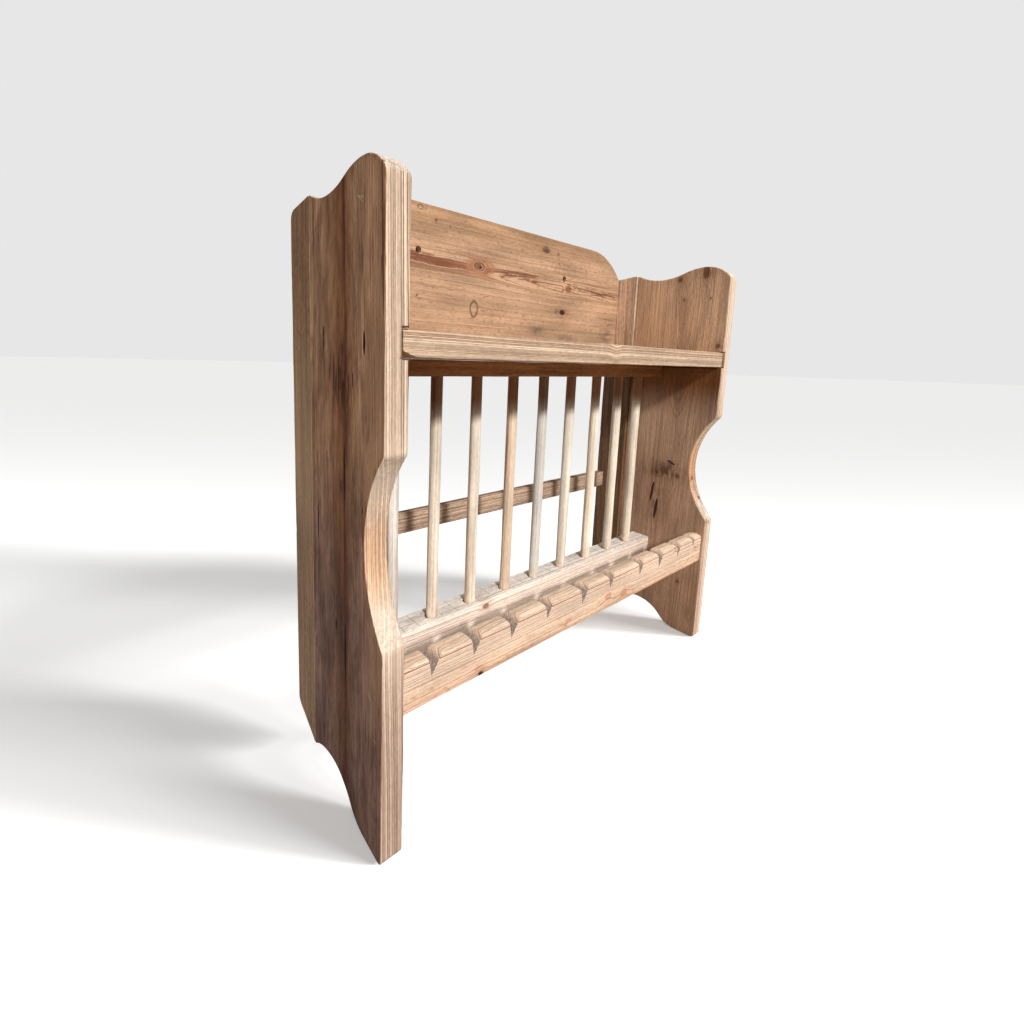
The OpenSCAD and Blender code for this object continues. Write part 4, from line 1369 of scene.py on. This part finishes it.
# %% Dowel pines
dowel_looks = {
    "cream": ((255, 245, 228), (224, 188, 152), 61.0),
    "pink": ((253, 230, 204), (206, 160, 124), 67.0),
    "grey": ((242, 236, 226), (174, 162, 148), 71.0),
}
for name, (early, late, seed) in dowel_looks.items():
    pine = Pine(name + " dowel wood", "zxy", (900, 60), 1.9, seed, lean=0.03, sway=0.004)
    pine.colour = pine.wood(early, late, 0.85, 0.6, 0.1)
    pine.stain((196, 152, 116), pine.cloud((7, 170, 170), 0.54, 0.72, seed=3.0), 0.25)
    pine.stain((186, 152, 122), pine.ramp("z", 190, 158), pine.cloud((60, 60, 60), 0.35, 0.65), 0.6)
    # Painted shade: the dowels darken towards their tops, under the shelf.
    pine.shade((150, 112, 84), pine.ramp("z", 395, 432))
    dowel_looks[name] = pine.finish(0.58, 0.35)
for i in range(9):
    kind = {0: "grey", 3: "pink", 4: "grey"}.get(i, "cream")
    materials[f"dowel_{i + 1}"] = dowel_looks[kind]

# %% Iron
iron = bpy.data.materials.new("rusted nail iron")
iron.use_nodes = True
sheet = Sheet(iron.node_tree)
shader = iron.node_tree.nodes["Principled BSDF"]
where = sheet.add("ShaderNodeTexCoord").outputs["Object"]
rust = sheet.smooth(sheet.noise(where, 900.0, 3.0), 0.4, 0.65)
sheet.feed(shader.inputs["Base Color"], sheet.blend(rust, tint(48, 40, 36), tint(96, 58, 38)))
sheet.feed(shader.inputs["Metallic"], sheet.smooth(rust, 0.0, 1.0, 0.7, 0.05))
sheet.feed(shader.inputs["Roughness"], sheet.smooth(rust, 0.0, 1.0, 0.5, 0.9))
for name in nail_sets:
    materials[name] = iron
print("materials:", len(set(m.name for m in materials.values())))

# %% [markdown]
# ## Setting the pieces on the frame
# Each worn piece takes the place of its CAD node, rides with the rack's one body and names the material
# slot that its finish belongs to. The pegs are buried in the boards and stay as they are in CAD, in plain
# pine.

# %% Replace, ride and slot
for node, piece in pieces.items():
    piece.data.materials.clear()
    piece.data.materials.append(materials[node])
    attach(piece, "root")
    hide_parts(node)
PEGS = ("left_edge_pegs", "right_edge_pegs")
pine = Pine("peg wood", "yxz", (90, 90), 1.8, 83.0)
pine.colour = pine.wood((206, 170, 130), (168, 126, 90), 0.7, 0.5)
peg_material = pine.finish()
for node in PEGS:
    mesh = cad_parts[node].data
    mesh.materials.clear()
    mesh.materials.append(peg_material)
triangles = sum(len(face.vertices) - 2 for piece in pieces.values() for face in piece.data.polygons)
print("pieces set:", len(pieces), "triangles:", triangles)

# %% [markdown]
# ## Floor, light and camera
# The rack stands on white paper that runs out to a light grey background. Two lamps light the rack alone:
# the key lamp in front, a little to the left and above, and a broad one at the right. Four others light the
# paper alone, from the right, so that the rack throws its soft shadow to the left, as in the photo. The
# room gives an even fill. Paper and room each have two looks: what the eye sees, and the weaker light that
# they send back to the wood.

# %% Floor
FLOOR_Z = BENCH_ZERO[2]
PAPER_HALF = 40  # m
VIEW_WAY = (0.6077, 0.7829, 0.0)  # the level heading of the camera


def two_looks(sheet, ending, light, look):
    """Closes a tree: one shader where the eye, a mirror or glass looks, another for the light it gives."""
    ray = sheet.add("ShaderNodeLightPath")
    direct = sheet.math("MAXIMUM", ray.outputs["Is Camera Ray"], ray.outputs["Is Glossy Ray"])
    direct = sheet.math("MAXIMUM", direct, ray.outputs["Is Transmission Ray"])
    mixed = sheet.add("ShaderNodeMixShader")
    for socket, value in zip(mixed.inputs, (direct, light.outputs[0], look.outputs[0])):
        sheet.feed(socket, value)
    sheet.feed(sheet.add(ending).inputs["Surface"], mixed.outputs[0])


corners = [(x * PAPER_HALF, y * PAPER_HALF, FLOOR_Z) for x, y in ((-1, -1), (1, -1), (1, 1), (-1, 1))]
floor_mesh = bpy.data.meshes.new("paper")
floor_mesh.from_pydata(corners, [], [(0, 1, 2, 3)])
floor = bpy.data.objects.new("paper_floor", floor_mesh)
bpy.context.scene.collection.objects.link(floor)
paper = bpy.data.materials.new("white paper")
paper.use_nodes = True
sheet = Sheet(paper.node_tree)
paper.node_tree.nodes.clear()
where = sheet.add("ShaderNodeTexCoord").outputs["Object"]
back = sheet.math("ADD", sheet.vector("DOT_PRODUCT", where, VIEW_WAY), 0.6634)
ramp = sheet.add("ShaderNodeValToRGB")
ramp.color_ramp.interpolation = "B_SPLINE"
levels = ((0.0, 0.65), (0.177, 0.65), (0.32, 0.663), (0.50, 0.70), (0.72, 0.79), (0.92, 0.96))
while len(ramp.color_ramp.elements) < len(levels):
    ramp.color_ramp.elements.new(0.5)
for element, (at, level) in zip(ramp.color_ramp.elements, levels):
    element.position = at
    element.color = (level, level, level, 1.0)
sheet.feed(ramp.inputs[0], sheet.math("DIVIDE", 1.0, sheet.math("MAXIMUM", back, 0.9)))
seen = sheet.add("ShaderNodeBsdfDiffuse")
sheet.feed(seen.inputs["Color"], ramp.outputs[0])
glow = sheet.add("ShaderNodeEmission")
sheet.feed(glow.inputs["Color"], ramp.outputs[0])
glow.inputs["Strength"].default_value = 0.29
bright = sheet.add("ShaderNodeAddShader")
sheet.feed(bright.inputs[0], seen.outputs[0])
sheet.feed(bright.inputs[1], glow.outputs[0])
unseen = sheet.add("ShaderNodeBsdfDiffuse")
unseen.inputs["Color"].default_value = (0.45, 0.44, 0.43, 1.0)
two_looks(sheet, "ShaderNodeOutputMaterial", unseen, bright)
floor_mesh.materials.append(paper)
print("floor at", round(FLOOR_Z, 3), "m")

# %% Light
world = bpy.data.worlds.new("soft room")
bpy.context.scene.world = world
world.use_nodes = True
sheet = Sheet(world.node_tree)
world.node_tree.nodes.clear()
backdrop = sheet.add("ShaderNodeBackground")
backdrop.inputs["Color"].default_value = (0.799, 0.799, 0.799, 1.0)
fill = sheet.add("ShaderNodeBackground")
fill.inputs["Color"].default_value = (1.0, 0.985, 0.955, 1.0)
fill.inputs["Strength"].default_value = 0.18
two_looks(sheet, "ShaderNodeOutputWorld", fill, backdrop)


def lamp(name, travel, level, softness, colour, lit):
    """A broad lamp whose light travels that way, on one collection. Level 1 shows a colour as written."""
    light = bpy.data.lights.new(name, "SUN")
    light.energy = level * math.pi
    light.angle = math.radians(softness)
    light.color = colour
    holder = bpy.data.objects.new(name, light)
    holder.rotation_euler = Vector(travel).to_track_quat("-Z", "Y").to_euler()
    bpy.context.scene.collection.objects.link(holder)
    holder.light_linking.receiver_collection = lit


rack_only = bpy.data.collections.new("lit by the rack lamps")
for piece in list(pieces.values()) + [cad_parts[node] for node in PEGS]:
    rack_only.objects.link(piece)
paper_only = bpy.data.collections.new("lit by the paper lamps")
paper_only.objects.link(floor)
warm, white = (1.0, 0.985, 0.96), (1.0, 1.0, 1.0)
lamp("key lamp", (0.25, 1.0, -0.71), 0.95, 6, warm, rack_only)
lamp("side lamp", (-0.52, 0.63, -1.0), 0.2, 32, warm, rack_only)
for name, heading, rise, level, softness in (
    ("paper lamp low", 47, 9, 0.36, 9),
    ("paper lamp middle", 42, 22, 0.12, 12),
    ("paper lamp high", 34, 40, 0.2, 12),
    ("paper lamp over", 0, 90, 0.15, 120),
):
    heading, rise = math.radians(heading), math.radians(rise)
    flat = math.cos(rise)
    travel = (-math.sin(heading) * flat, math.cos(heading) * flat, -math.sin(rise))
    lamp(name, travel, level / math.sin(rise), softness, white, paper_only)

# %% Camera
FRAME_PX, FOCAL_PX, CENTRE_PX = 1024, 457.34, (450.0, 422.54)
STAND_MM = [-185.04, -327.33, 477.72]
camera_data = bpy.data.cameras.new("camera")
camera_data.sensor_width = 36.0
camera_data.lens = FOCAL_PX / FRAME_PX * 36.0
camera_data.shift_x = (FRAME_PX / 2 - CENTRE_PX[0]) / FRAME_PX
camera_data.shift_y = (CENTRE_PX[1] - FRAME_PX / 2) / FRAME_PX
camera = bpy.data.objects.new("camera", camera_data)
right = (0.79193, -0.60999, 0.02737)
up = (0.0599, 0.1223, 0.9907)
ahead = (0.60766, 0.78292, -0.13337)
turn = [[right[k], up[k], -ahead[k]] for k in range(3)]
stand = BENCH_ZERO + np.array(STAND_MM) * 0.001
camera.matrix_world = Matrix.Translation(Vector(stand)) @ Matrix(turn).to_4x4()
bpy.context.scene.collection.objects.link(camera)
bpy.context.scene.camera = camera
bpy.context.scene.view_settings.view_transform = "Standard"
print("camera at", [round(v, 3) for v in stand])

# %% [markdown]
# ## Close the lesson
